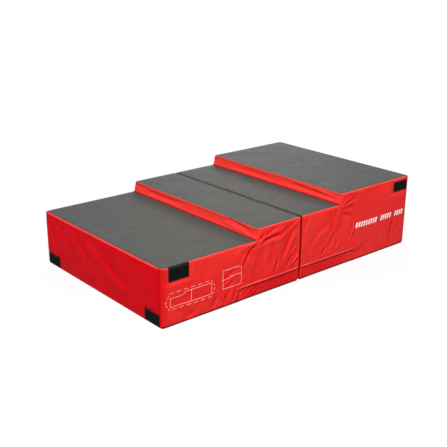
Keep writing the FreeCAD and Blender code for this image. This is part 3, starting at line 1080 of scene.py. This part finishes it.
def face_weight(half, points, panel):
    """1 on the panel's flat face and 0 round the edges, where it wraps onto the next face."""
    reach, across, z = spread(points)
    lost = 1.2 * MM
    if panel.startswith("side"):
        flat = smoothstep(across, HALF_WIDTH - 3 * lost, HALF_WIDTH - lost)
        flat = flat * smoothstep(HALF_LENGTH - reach, 2 * MM, CORNER_ROUND)
        return flat * smoothstep(reach, FOLD_GAP, 12 * MM)
    if panel == "end_outer":
        flat = smoothstep(reach, HALF_LENGTH - 3 * lost, HALF_LENGTH - lost)
        return flat * smoothstep(HALF_WIDTH - across, 2 * MM, CORNER_ROUND)
    if panel == "end_inner":
        return smoothstep(HALF_WIDTH - across, 0, 15 * MM) * smoothstep(MID_TOP - z, 0, 15 * MM)
    if panel == "riser":
        return np.ones(len(points))
    rim = SEAM_INSET + 0.5 * MM
    riser_gap = np.abs(reach - (half.foot + half.head) / 2)
    return smoothstep(HALF_WIDTH - across, rim, 16 * MM) * smoothstep(riser_gap, 6 * MM, 16 * MM)


def build_cover(half, materials):
    """Every cover panel of a half. Returns the pieces by panel, and the cover's outer surface."""
    points, faces, panels = cover_mesh(half)
    shaped = shape_points(half, points)
    faces = outward_faces(shaped, faces, half)
    slack = slack_cloth(half, points, shaped, faces)
    plain_fine, fine_faces, ids = subdivided(shaped, faces, panels)
    slack_fine = subdivided(slack, faces, panels)[0]
    outer = dressed(half, plain_fine, slack_fine, fine_faces, ids)
    normals = grid_normals(outer, fine_faces)
    bend = paint_shade_and_highlight(half, outer, bend_at(outer, normals, fine_faces))
    pieces = {}
    for panel in PANELS:
        used, own = compact(faces_of(fine_faces, ids, panel))
        solid_points, solid_faces = thicken(outer[used], normals[used], own, COVER)
        grey = panel.startswith("top")
        # The outer ends take the darker copy of the red, which paints their shade
        finish = "grey" if grey else "end_red_in_shade" if panel == "end_outer" else "red"
        node = half.name + "_" + panel
        thing = link_mesh(node + "_cover", solid_points, solid_faces, materials[finish])
        shared = np.vstack((normals[used], -normals[used]))
        thing.data.normals_split_custom_set_from_vertices([tuple(normal) for normal in shared])
        mark_bend(thing, bend[used])
        pieces[panel] = finish_piece(thing, half.body, (node,))
    surface = BVHTree.FromPolygons([tuple(point) for point in outer], fine_faces)
    return pieces, surface


def paint_shade_and_highlight(half, points, bend):
    """The bend as colour shows it, plus painted shade at seams, the floor, the fold and the riser feet, a
    painted highlight on the hem, the low end's rim and the risers, and a deeper tone near the outer upright
    corners.
    """
    reach, across, z = spread(points)
    on_side = across > HALF_WIDTH - 8 * MM
    riser = (half.foot + half.head) / 2
    by_top_edge = z > half.top_at(reach) - 4 * MM
    corner = smoothstep(reach, HALF_LENGTH - 40 * MM, HALF_LENGTH - 6 * MM)
    corner = corner * smoothstep(across, HALF_WIDTH - 40 * MM, HALF_WIDTH - 6 * MM)
    # Painted highlight: the risers' faces are lightened
    riser_highlight = (np.abs(reach - riser) < 9 * MM) & (np.abs(z - (half.low + half.high) / 2) < 21 * MM)
    bend = np.where(riser_highlight & ~on_side, bend + 0.1, bend)
    if half.side < 0:
        # Painted highlight along the low end's top rim, and a painted shade line at the seam beside it
        end_rim_highlight = (reach > HALF_LENGTH - 4.5 * MM) & by_top_edge & (corner < 0.5)
        bend = np.where(end_rim_highlight, 0.25, bend)
        end_seam = (np.abs(reach - HALF_LENGTH + SEAM_INSET) < 1 * MM) & by_top_edge
        bend = np.where(end_seam & ~on_side, -0.25, bend)
    bend = bend * (1 - corner) - 0.07 * corner
    step_corner = (np.abs(reach - riser) < 14 * MM) & on_side & (z > half.low)
    bend = np.where(step_corner, np.clip(bend, -0.02, 0.03), bend)
    # Painted shade on the tops beside the fold
    hinge_shade = (1 - smoothstep(reach, FOLD_GAP + 2 * MM, FOLD_GAP + 14 * MM)) * ~on_side
    hinge_shade = hinge_shade * (z > MID_TOP - 8 * MM)
    bend = np.where(hinge_shade > 0, np.minimum(bend, -0.2 * hinge_shade), bend)
    # Painted shade along the floor and beside the fold gap, and a painted shadow at the riser feet
    floor_shade = (1 - smoothstep(z, 8 * MM, 13 * MM)) * on_side
    fold_gap_shade = (1 - smoothstep(reach, FOLD_GAP + 2 * MM, FOLD_GAP + 6 * MM)) * on_side
    foot_shadow = (np.abs(reach - half.foot) < 4.5 * MM) & (np.abs(z - half.low + 1 * MM) < 3 * MM)
    dark = np.maximum.reduce((floor_shade, fold_gap_shade, (foot_shadow & ~on_side) * 0.95))
    bend = np.minimum(bend, 1 - (1 + FULL_BEND) * dark)
    # Painted highlight along the hem's roll
    at_hem = (np.abs(z - HEM - 2 * MM) < 4 * MM) & (across > HALF_WIDTH - 1.6 * MM) & (reach < ZIP_REACH)
    return np.where(at_hem & (fold_gap_shade == 0), FULL_BEND, bend)


def mark_bend(thing, bend):
    """Stores the bend, with its painted highlight and shade, of both faces of a thickened sheet for its
    material.
    """
    attribute = thing.data.attributes.new(BEND_AND_PAINTED_LIGHT, "FLOAT", "POINT")
    attribute.data.foreach_set("value", np.tile(bend, 2))


def outward_faces(points, faces, half):
    """The faces, each wound so that it faces away from the half's middle."""
    middle = np.array((half.side * HALF_LENGTH / 2, 0, half.low / 2))
    wound = []
    for face in faces:
        corners = points[list(face)]
        normal = np.cross(corners[2] - corners[0], corners[3] - corners[1])
        centre = corners.mean(axis=0)
        away = centre - middle
        if abs(normal[0]) > max(abs(normal[1]), abs(normal[2])) and centre[2] > half.low:
            away = np.array((-1.0, 0, 0)) if abs(abs(centre[0]) - half.foot) < 20 * MM else away
        wound.append(face if normal @ away > 0 else face[::-1])
    return wound


# The band behind the hem, the base and the foam

def u_path(half, inset, reach, step):
    """Points and outward directions along the near side, the inner end and the far side."""
    across = HALF_WIDTH - inset
    inner = FOLD_GAP + inset
    round_off = 4 * MM
    eighth = math.pi / 8

    def corner(side, turns):
        for turn in turns:
            out = (-math.sin(turn * eighth), side * math.cos(turn * eighth))
            middle = (inner + round_off, side * (across - round_off))
            yield (middle[0] + round_off * out[0], middle[1] + round_off * out[1]), out

    run = stations((inner + round_off, reach), step)
    width = stations((round_off - across, across - round_off), step)
    return [
        *(((x, -across), (0, -1)) for x in reversed(run)),
        *corner(-1, (1, 2, 3)),
        *(((inner, y), (-1, 0)) for y in width),
        *corner(1, (3, 2, 1)),
        *(((x, across), (0, 1)) for x in run),
    ]


def band_height(length, z, side, beats):
    """How far the band stands out from its place: slanting gathers, drawn in towards its top and foot."""
    slanted = length + side * 1.4 * z
    wander = 1.7 * math.sin(slanted / 0.083 + beats[0])
    wander += 1.1 * math.sin(length / 0.037 + z / 0.05 + beats[1])
    turns = slanted / RIPPLE * 2 * math.pi + wander
    swing = 0.75 * math.sin(turns) + 0.35 * math.sin(1.9 * turns + beats[1])
    swell = 0.7 + 0.3 * math.sin(length / 0.13 + z / 0.07 + beats[2])
    held = smoothstep(z, 0, 12 * MM) * (1 - smoothstep(z, HEM - 8 * MM, HEM + 2 * MM))
    tucked = FLOOR_TUCK * (1 - smoothstep(z, 0, 6 * MM))
    deep = 1.0 * MM if side < 0 else 0.8 * MM
    return (swing * swell * deep + 0.9 * MM) * held - tucked


def build_band(half, materials):
    """The band of cover below the zip: gathered into slanting ripples, and tucked under at the floor."""
    step = 3 * MM
    passes_hem = 14 * MM
    heights = stations((0, BAND_TOP), step)
    beats = np.random.default_rng(SEED + 50 + half.side).uniform(0, 2 * math.pi, 3)
    rows = []
    length = 0.0
    places = u_path(half, BAND_FACE, ZIP_REACH + passes_hem, step)
    for number, ((x, y), (along, across)) in enumerate(places):
        if number:
            length += math.dist(places[number - 1][0], (x, y))
        behind = 3.4 * MM * smoothstep(x, ZIP_REACH - 4 * MM, ZIP_REACH + 4 * MM)
        row = []
        for z in heights:
            out = band_height(length, z, half.side, beats) - behind
            row.append((half.side * (x + along * out), y + across * out, z))
        rows.append(row)
    points, faces = sheet_grid(rows)
    faces, normals = facing(points, faces, points - np.array((half.side * ZIP_REACH, 0, 0)))
    solid_points, solid_faces = thicken(points, normals, faces, 0.8 * MM)
    node = half.name + "_zip_band"
    band = link_mesh(node + "_cloth", solid_points, solid_faces, materials["red"])
    # Painted shade: the band is darkened under the hem, fading out towards the zip's end
    shade = -0.06 * (1 - smoothstep(np.abs(points[:, 0]), ZIP_REACH - 80 * MM, ZIP_REACH))
    mark_bend(band, paint_shade_and_highlight(half, points, shade + bend_at(points, normals, faces) / 2))
    finish_piece(band, half.body, (node,))


def build_foam(half, materials):
    """The base block and the step block glued on it, a little smaller than the cover all round."""
    glue_line = half.low - COVER
    top = half.high - FOAM_INSET
    across = HALF_WIDTH - FOAM_INSET
    inner, outer = FOLD_GAP + FOAM_INSET, HALF_LENGTH - FOAM_INSET
    foot, head = half.foot + half.side * FOAM_INSET, half.head + half.side * FOAM_INSET
    steps = ((inner, foot), (inner, head)) if half.side < 0 else ((foot, outer), (head, outer))
    spans = {
        "foam_base": ((inner, outer), (inner, outer), COVER + 0.5 * MM, half.low - FOAM_INSET),
        "foam_step": (*steps, half.low - FOAM_INSET, top),
    }
    for part, (bottom_span, top_span, bottom, height) in spans.items():
        node = half.name + "_" + part
        levels = ((bottom_span, bottom), (top_span, height))
        block = foam_block(node + "_block", half.side, levels, across, materials["foam"])
        finish_piece(block, half.body, (node,))


def foam_block(name, side, levels, across, material):
    """A sawn foam block with softened edges and a slightly uneven surface."""
    corners = [(side * x, y, z) for span, z in levels
               for x, y in ((span[0], -across), (span[1], -across), (span[1], across), (span[0], across))]
    quads = [(0, 3, 2, 1), (4, 5, 6, 7), (0, 1, 5, 4), (1, 2, 6, 5), (2, 3, 7, 6), (3, 0, 4, 7)]
    if side < 0:
        quads = [quad[::-1] for quad in quads]
    rough = link_mesh("rough_foam", corners, quads, material)
    bevel = rough.modifiers.new("soft_edges", "BEVEL")
    bevel.width = 5 * MM
    bevel.segments = 3
    finer = rough.modifiers.new("finer", "SUBSURF")
    finer.subdivision_type = "SIMPLE"
    finer.levels = 4
    mesh = bpy.data.meshes.new_from_object(evaluated(rough))
    bpy.data.objects.remove(rough)
    places = places_of(mesh)
    normals = np.empty(len(mesh.vertices) * 3)
    mesh.vertex_normals.foreach_get("vector", normals)
    places += normals.reshape(-1, 3) * (even_noise(places, 0.05, SEED)[:, None] * 0.25 * MM)
    mesh.vertices.foreach_set("co", places.ravel())
    mesh.shade_smooth()
    mesh.name = name
    block = bpy.data.objects.new(name, mesh)
    bpy.context.collection.objects.link(block)
    return block


def build_base(half, materials):
    """The non-slip underside, flat on the floor and slightly uneven between its seams."""
    low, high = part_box(half.name + "_base_panel")
    xs = stations((low.x, high.x), 30 * MM)
    ys = stations((low.y, high.y), 30 * MM)
    rows = []
    for x in xs:
        row = []
        for y in ys:
            rim = min(x - low.x, high.x - x, y - low.y, high.y - y)
            lift = 0.25 * MM * (1 + math.sin(x / 0.06) * math.sin(y / 0.075)) * smoothstep(rim, 0, 0.05)
            row.append((x, y, low.z + lift))
        rows.append(row)
    points, faces = sheet_grid(rows)
    faces, normals = facing(points, faces, (0, 0, -1))
    node = half.name + "_base_panel"
    solid = thicken(points, normals, faces, COVER)
    base = add_piece(node + "_cover", solid, materials["grip"], half.body, (node,))


# Hook-and-loop patches, tabs, the hinge strip and the printed figures

class Face:
    """A flat place on the box: a corner, two directions along it and the direction out."""

    def __init__(self, origin, right, up):
        self.origin = np.array(origin, float)
        self.right = np.array(right, float)
        self.up = np.array(up, float)
        self.out = np.cross(self.right, self.up)

    def at(self, across, height, out=0.0):
        """The place at distances along, up and out from the corner."""
        return self.origin + self.right * across + self.up * height + self.out * out


def soft_plate(face, width, height, bottom, top, step, nap, seed, corner=3 * MM):
    """Points and faces of a thin plate with rounded corners, a rolled edge and a napped top."""
    inset = 1.2 * MM
    xs = stations((0, inset, width - inset, width), step)
    zs = stations((0, inset, height - inset, height), step)
    source = np.random.default_rng(seed)
    rows = []
    for z in zs:
        row = []
        for x in xs:
            edge_x, edge_z = min(x, width - x), min(z, height - z)
            pull = 0.0
            if edge_x < corner and edge_z < corner:
                away = math.hypot(corner - edge_x, corner - edge_z)
                pull = max(0.0, 1 - corner / away) if away > 0 else 0.0
            shift_x = pull * (corner - edge_x) * (1 if x < width / 2 else -1)
            shift_z = pull * (corner - edge_z) * (1 if z < height / 2 else -1)
            rim = min(edge_x, edge_z)
            rise = bottom + (top - bottom) * (0.45 + 0.55 * smoothstep(rim, 0, 1.6 * MM))
            rough = nap * source.uniform(-1, 0) * smoothstep(rim, 0, 3 * MM)
            row.append(face.at(x + shift_x, z + shift_z, rise + rough))
        rows.append(row)
    points, faces = sheet_grid(rows)
    back = points - np.outer((points - face.origin) @ face.out - bottom, face.out)
    return closed_shell(points, back, faces)


def stitch_line(face, path, out, length=3.2 * MM, gap=1.6 * MM, thick=0.5 * MM):
    """Points and faces of a row of raised stitches along a path on a face."""
    points, faces = [], []
    ring = 6
    for start, end in zip(path, path[1:]):
        span = math.dist(start, end)
        count = max(1, int(span / (length + gap)))
        pitch = span / count
        direction = np.array((end[0] - start[0], end[1] - start[1])) / span
        aside = np.array((-direction[1], direction[0]))
        for number in range(count):
            base = len(points)
            for share, radius in ((0.0, 0.35), (0.2, 0.9), (0.5, 1.0), (0.8, 0.9), (1.0, 0.35)):
                centre = np.array(start) + direction * (pitch * number + gap / 2 + (pitch - gap) * share)
                for side in range(ring):
                    angle = 2 * math.pi * side / ring
                    flat = centre + aside * math.cos(angle) * thick / 2 * radius
                    rise = out + math.sin(angle) * thick / 2 * radius
                    points.append(face.at(flat[0], flat[1], rise))
            for level in range(4):
                for side in range(ring):
                    first = base + level * ring + side
                    second = base + level * ring + (side + 1) % ring
                    faces.append((first, second, second + ring, first + ring))
            faces.append(tuple(base + side for side in reversed(range(ring))))
            faces.append(tuple(base + 4 * ring + side for side in range(ring)))
    return np.array(points), faces


def joined(parts):
    """Several (points, faces) pairs as one."""
    points, faces, count = [], [], 0
    for own_points, own_faces in parts:
        points.append(own_points)
        faces += [tuple(index + count for index in face) for face in own_faces]
        count += len(own_points)
    return np.vstack(points), faces


def border(width, height, inset):
    """A closed rectangle inside a plate's edges."""
    right, top = width - inset, height - inset
    return (inset, inset), (right, inset), (right, top), (inset, top), (inset, inset)


def patch_faces(node):
    """The face behind each patch of a node, with the patch's width and height."""
    low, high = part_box(node)
    height = high.z - low.z
    if node.endswith("end_patches"):
        outward = 1 if low.x > 0 else -1
        x = low.x if outward > 0 else high.x
        for inner in (low.y, high.y - PATCH_LENGTH):
            start = inner if outward > 0 else inner + PATCH_LENGTH
            yield Face((x, start, low.z), (0, outward, 0), (0, 0, 1)), PATCH_LENGTH, height
    else:
        for y, outward in ((-HALF_WIDTH, -1), (HALF_WIDTH, 1)):
            start = low.x if outward < 0 else high.x
            yield Face((start, y, low.z), (-outward, 0, 0), (0, 0, 1)), PATCH_LENGTH, height


def build_patches(node, body, materials):
    """A node's hook-and-loop patches: napped plates, each sewn on round its border."""
    plates, threads = [], []
    thickness = 1.5 * MM
    for number, (face, width, height) in enumerate(patch_faces(node)):
        size = (width, height, -0.6 * MM, thickness)
        plates.append(soft_plate(face, *size, step=1.6 * MM, nap=0.35 * MM, seed=SEED + number))
        threads.append(stitch_line(face, border(width, height, 3 * MM), thickness - 0.1 * MM))
    add_piece(node + "_pile", joined(plates), materials["loop"], body, (node,))
    add_piece(node + "_stitches", joined(threads), materials["black_thread"], body)


def build_tab(where, materials):
    """A closing tab: a webbing strap with its hooks, sewn on by its anchor and bending between them."""
    outward = -1 if where == "near" else 1
    body = where + "_tab"
    name = "tab_" + where
    low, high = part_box(name + "_strap")
    width, height = high.x - low.x, high.z - low.z
    start = low.x if outward < 0 else high.x
    face = Face((start, outward * HALF_WIDTH, low.z), (-outward, 0, 0), (0, 0, 1))
    inner, outer = (pick(abs(low.y), abs(high.y)) - HALF_WIDTH for pick in (min, max))
    strap = soft_plate(face, width, height, inner, outer, 2 * MM, 0.06 * MM, SEED + 5, corner=4 * MM)
    add_piece(name + "_strap_webbing", strap, materials["webbing"], body, (name + "_strap",))
    stitches = stitch_line(face, border(width, height, 1.9 * MM), outer)
    add_piece(name + "_stitches", stitches, materials["black_thread"], body)
    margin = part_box(name + "_hooks")[0].x - low.x
    hook_face = Face(face.at(margin, margin), face.right, face.up)
    size = (width - 2 * margin, height - 2 * margin, outer, outer + 1.2 * MM)
    hooks = soft_plate(hook_face, *size, step=1.5 * MM, nap=0.4 * MM, seed=SEED + 6)
    add_piece(name + "_hook_tape", hooks, materials["hook"], body, (name + "_hooks",))
    build_anchor(where, face, width, height, materials["webbing"])


def build_anchor(where, face, width, height, material):
    """A tab's sewn end, over the box's edge, and the short bend of webbing down to the strap."""
    name = "tab_" + where
    foot = face.origin[2]
    low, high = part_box(name + "_anchor")
    profile = anchor_profile(low.z - foot, LOW_TOP - foot)
    if where == "far":
        profile = profile[:3]
    anchor = swept_strip(face, 0, width, profile, 0.9 * MM)
    add_piece(name + "_anchor_webbing", anchor, material, "low_half", (name + "_anchor",))
    hinge = (low.z + high.z) / 2 - foot
    route = [
        (hinge + 0.3 * MM, 1.75 * MM), (hinge - 0.9 * MM, 1.95 * MM),
        (height + 0.2 * MM, 1.7 * MM), (height - 1.2 * MM, 1.35 * MM),
    ]
    margin = 1.5 * MM
    bend = link_mesh(name + "_bend", *swept_strip(face, margin, width - margin, route, 0.4 * MM), material)
    tuple(face.at(0, hinge))
    tuple(face.at(0, height))
    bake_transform(bend)


def anchor_profile(bottom, top):
    """The anchor's route in (height, out): up the side, round the edge and in to the seam on top."""
    bend = 3 * MM
    out = 0.7 * MM
    route = [(bottom, out), (bottom + 2 * MM, out), (top - bend, out)]
    for share in (1 / 3, 2 / 3, 1):
        angle = math.pi / 2 * share
        route.append((top - bend + (bend + out) * math.sin(angle), (bend + out) * math.cos(angle) - bend))
    route.append((top + out, -SEAM_INSET))
    return route


def swept_strip(face, start, end, profile, thickness):
    """A strip of even thickness that follows a profile of (height, out), from one place to another."""
    columns = stations((start, end), 4 * MM)
    rows = [[face.at(across, height, out) for across in columns] for height, out in profile]
    points, faces = sheet_grid(rows)
    faces, normals = facing(points, faces, face.out + face.up)
    return thicken(points + normals * thickness / 2, normals, faces, thickness)


def build_hinge_strip(materials):
    """The strip that carries the fold between the two halves, finely divided across it."""
    low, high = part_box("hinge_strip")
    reach = 12 * MM
    xs = stations((low.x, -reach, reach, high.x), 1 * MM)
    xs = [x for x in xs if abs(x) <= reach or round(x / MM) % 3 == 0]
    ys = stations((low.y, high.y), 24 * MM)
    rows = [[(x, y, high.z + 0.08 * MM * math.sin(y / 0.02)) for y in ys] for x in xs]
    points, faces = sheet_grid(rows)
    faces, normals = facing(points, faces, (0, 0, 1))
    solid = thicken(points, normals, faces, high.z - low.z)
    strip = link_mesh("hinge_strip_cloth", *solid, materials["hinge"])
    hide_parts("hinge_strip")
    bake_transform(strip)


def printed_line(surface, face, path, width=1.0 * MM, thick=0.12 * MM):
    """A thin printed line that lies on the cloth along a path on a face."""
    points = []
    for start, end in zip(path, path[1:]):
        first, way = np.array(start), np.array(end) - np.array(start)
        steps = max(1, round(math.dist(start, end) / (5 * MM)))
        points += [tuple(first + way * step / steps) for step in range(steps + (end == path[-1]))]
    rows = []
    for number, place in enumerate(points):
        before, after = points[max(0, number - 1)], points[min(len(points) - 1, number + 1)]
        direction = np.array(after) - np.array(before)
        direction = direction / np.linalg.norm(direction)
        aside = np.array((-direction[1], direction[0])) * width / 2
        rows.append([laid_on(surface, face, np.array(place) + aside * side, thick) for side in (-1, 0, 1)])
    sheet_points, faces = sheet_grid(rows)
    faces = facing(sheet_points, faces, face.out)[0]
    return thicken(sheet_points, np.tile(face.out, (len(sheet_points), 1)), faces, 2 * thick)


def laid_on(surface, face, place, thick):
    """The point of the cloth in front of a place on a face, raised by the print's thickness."""
    origin = Vector(face.at(place[0], place[1], 20 * MM))
    hit = surface.ray_cast(origin, Vector(-face.out))[0]
    if hit is None:
        return face.at(place[0], place[1], thick)
    return np.array(hit) + face.out * thick


def dashes(start, end, count, share=0.6):
    """A broken line as a list of short paths."""
    start, end = np.array(start), np.array(end)
    step = (end - start) / count
    return [(tuple(start + step * number), tuple(start + step * (number + share))) for number in range(count)]


def low_figures():
    """Two plain figures of a folding box on the low half, as paths in metres on the near side."""
    def scaled(*path):
        return tuple((x * MM, z * MM) for x, z in path)
    opened = scaled((-711, 83), (-506, 83), (-506, 132), (-640, 132), (-650, 121), (-711, 121), (-711, 83))
    middle = scaled((-608, 132), (-608, 83))
    around = ((-736, 104), (-716, 143), (-505, 143), (-489, 107), (-505, 72), (-716, 72), (-736, 104))
    lines = [opened, middle]
    for start, end in zip(around, around[1:]):
        lines += dashes(*scaled(start, end), 6 if abs(end[0] - start[0]) > 100 else 2)
    folded = scaled((-447, 85), (-348, 85), (-348, 166), (-447, 166), (-447, 85))
    edge = scaled((-447, 125), (-412, 127), (-402, 133), (-348, 133))
    return lines + [folded, edge]


def bar_row(start, end, low, high):
    """A row of plain slanting bars in uneven groups, as paths of wide strokes."""
    groups = (9, 5, 4)
    gap = 1.4
    pitch = (end - start) / (sum(groups) + gap * (len(groups) - 1))
    lean = (high - low) * 0.28
    place = start
    bars = []
    for group in groups:
        for _ in range(group):
            bars.append(((place, low), (place + lean, high)))
            place += pitch
        place += gap * pitch
    return bars


def build_prints(surfaces, materials):
    """White prints on the near side: box outlines on the low half, plain bars on the high half."""
    face = Face((0, -HALF_WIDTH, 0), (1, 0, 0), (0, 0, 1))
    lines = [printed_line(surfaces["low"], face, path) for path in low_figures()]
    add_piece("low_box_figures", joined(lines), materials["print"], "low_half")
    bars = bar_row(372 * MM, 722 * MM, 161 * MM, 187 * MM)
    wide = [printed_line(surfaces["high"], face, path, width=10 * MM) for path in bars]
    add_piece("high_bar_row", joined(wide), materials["print"], "high_half")


def dress_cad_nodes(materials):
    """Finishes for the CAD nodes that stay: the zip behind the hem."""
    finishes = {
        "zip_facing": "red", "zip_tapes": "tape", "zip_coil": "coil", "zip_stops": "metal",
        "zip_slider": "metal", "zip_pull": "metal",
    }
    for name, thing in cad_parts.items():
        for ending, finish in finishes.items():
            if name.endswith(ending):
                thing.data.materials.clear()
                thing.data.materials.append(materials[finish])


def make_materials():
    """Every finish by a short name."""
    return {
        "red": coated_fabric("red_fabric", RED, RED_DEEP, RED_WEAR_AND_HIGHLIGHT, RED_PAINTED_SHADE, 0.42, 0.05),
        # A darker, less glossy copy of the red cloth: painted shade for the outer ends
        "end_red_in_shade": coated_fabric("end_red_fabric", END_RED_IN_SHADE, END_DEEP_RED_IN_SHADE, RED_WEAR_AND_HIGHLIGHT, RED_PAINTED_SHADE, 0.42, 0.01),
        "grey": coated_fabric("grey_fabric", GREY, GREY_DEEP, GREY_WEAR_AND_HIGHLIGHT, GREY_PAINTED_SHADE, 0.55, 0.05),
        # The hinge strip's cloth, painted dark as the shade in the fold gap
        "hinge": coated_fabric("hinge_shade_fabric", HINGE_SHADE_GREY, GREY_PAINTED_SHADE, GREY_DEEP, GREY_PAINTED_SHADE, 0.6, 0.03),
        "grip": grip_material(),
        "foam": foam_material(),
        "loop": fuzzy_tape("loop_tape", 900),
        "hook": fuzzy_tape("hook_tape", 1400),
        "webbing": nylon_material("black_webbing", BLACK, BLACK_PALE),
        "tape": nylon_material("zip_tape", (0.35, 0.012, 0.012), RED_DEEP),
        "coil": nylon_material("zip_coil", (0.03, 0.03, 0.03), (0.09, 0.09, 0.09), thread=1.5 * MM),
        "metal": metal_material(),
        "print": print_material(),
        "black_thread": thread_material("black_thread", (0.02, 0.022, 0.022), (0.05, 0.052, 0.052)),
    }


def panel_flat_size(half, panel):
    """A cover panel's cut as (width, length) and its flat area, from the box's sizes."""
    full_width = 2 * (HALF_WIDTH - SEAM_INSET)
    inner = RISER_START - FOLD_GAP
    outer = HALF_LENGTH - RISER_START
    if panel.startswith("side"):
        upper = inner if half.side < 0 else outer
        area = (HALF_LENGTH - FOLD_GAP) * (half.low + SEAM_INSET) + upper * (half.high - half.low)
        area -= (ZIP_REACH - FOLD_GAP) * HEM
        return (half.high + 2 * SEAM_INSET, HALF_LENGTH + SEAM_INSET), area
    sizes = {
        "end_outer": (half.outer + 2 * SEAM_INSET, full_width),
        "end_inner": (MID_TOP - HEM, full_width),
        "riser": (half.high - half.low, full_width),
        "top_outer": (outer, full_width),
        "top_inner": (inner, full_width),
    }
    width, length = sizes[panel]
    return (width, length), width * length


def build_object():
    """The whole box, dressed."""
    materials = make_materials()
    surfaces = {}
    for half in (Half("low", -1, LOW_TOP), Half("high", 1, HIGH_TOP)):
        pieces, surfaces[half.name] = build_cover(half, materials)
        for panel, thing in pieces.items():
            flat, area = panel_flat_size(half, panel)
        build_band(half, materials)
        build_base(half, materials)
        build_foam(half, materials)
        build_patches(half.name + "_end_patches", half.body, materials)
    build_patches("high_side_patches", "high_half", materials)
    for where in ("near", "far"):
        build_tab(where, materials)
    build_hinge_strip(materials)
    build_prints(surfaces, materials)
    dress_cad_nodes(materials)


make_camera()
make_world()
make_lamp("key_lamp", (-3.2, -3.84, 6.4), 1.7, 840)
make_lamp("fill_lamp", (3.6, 3.9, 2.8), 2.5, 110)
make_floor()
build_object()
bpy.context.scene.view_settings.view_transform = "Standard"
boxes = {"cad": CAD_BOX, "visual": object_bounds()}
{name: [list(corner) for corner in box] for name, box in boxes.items()}
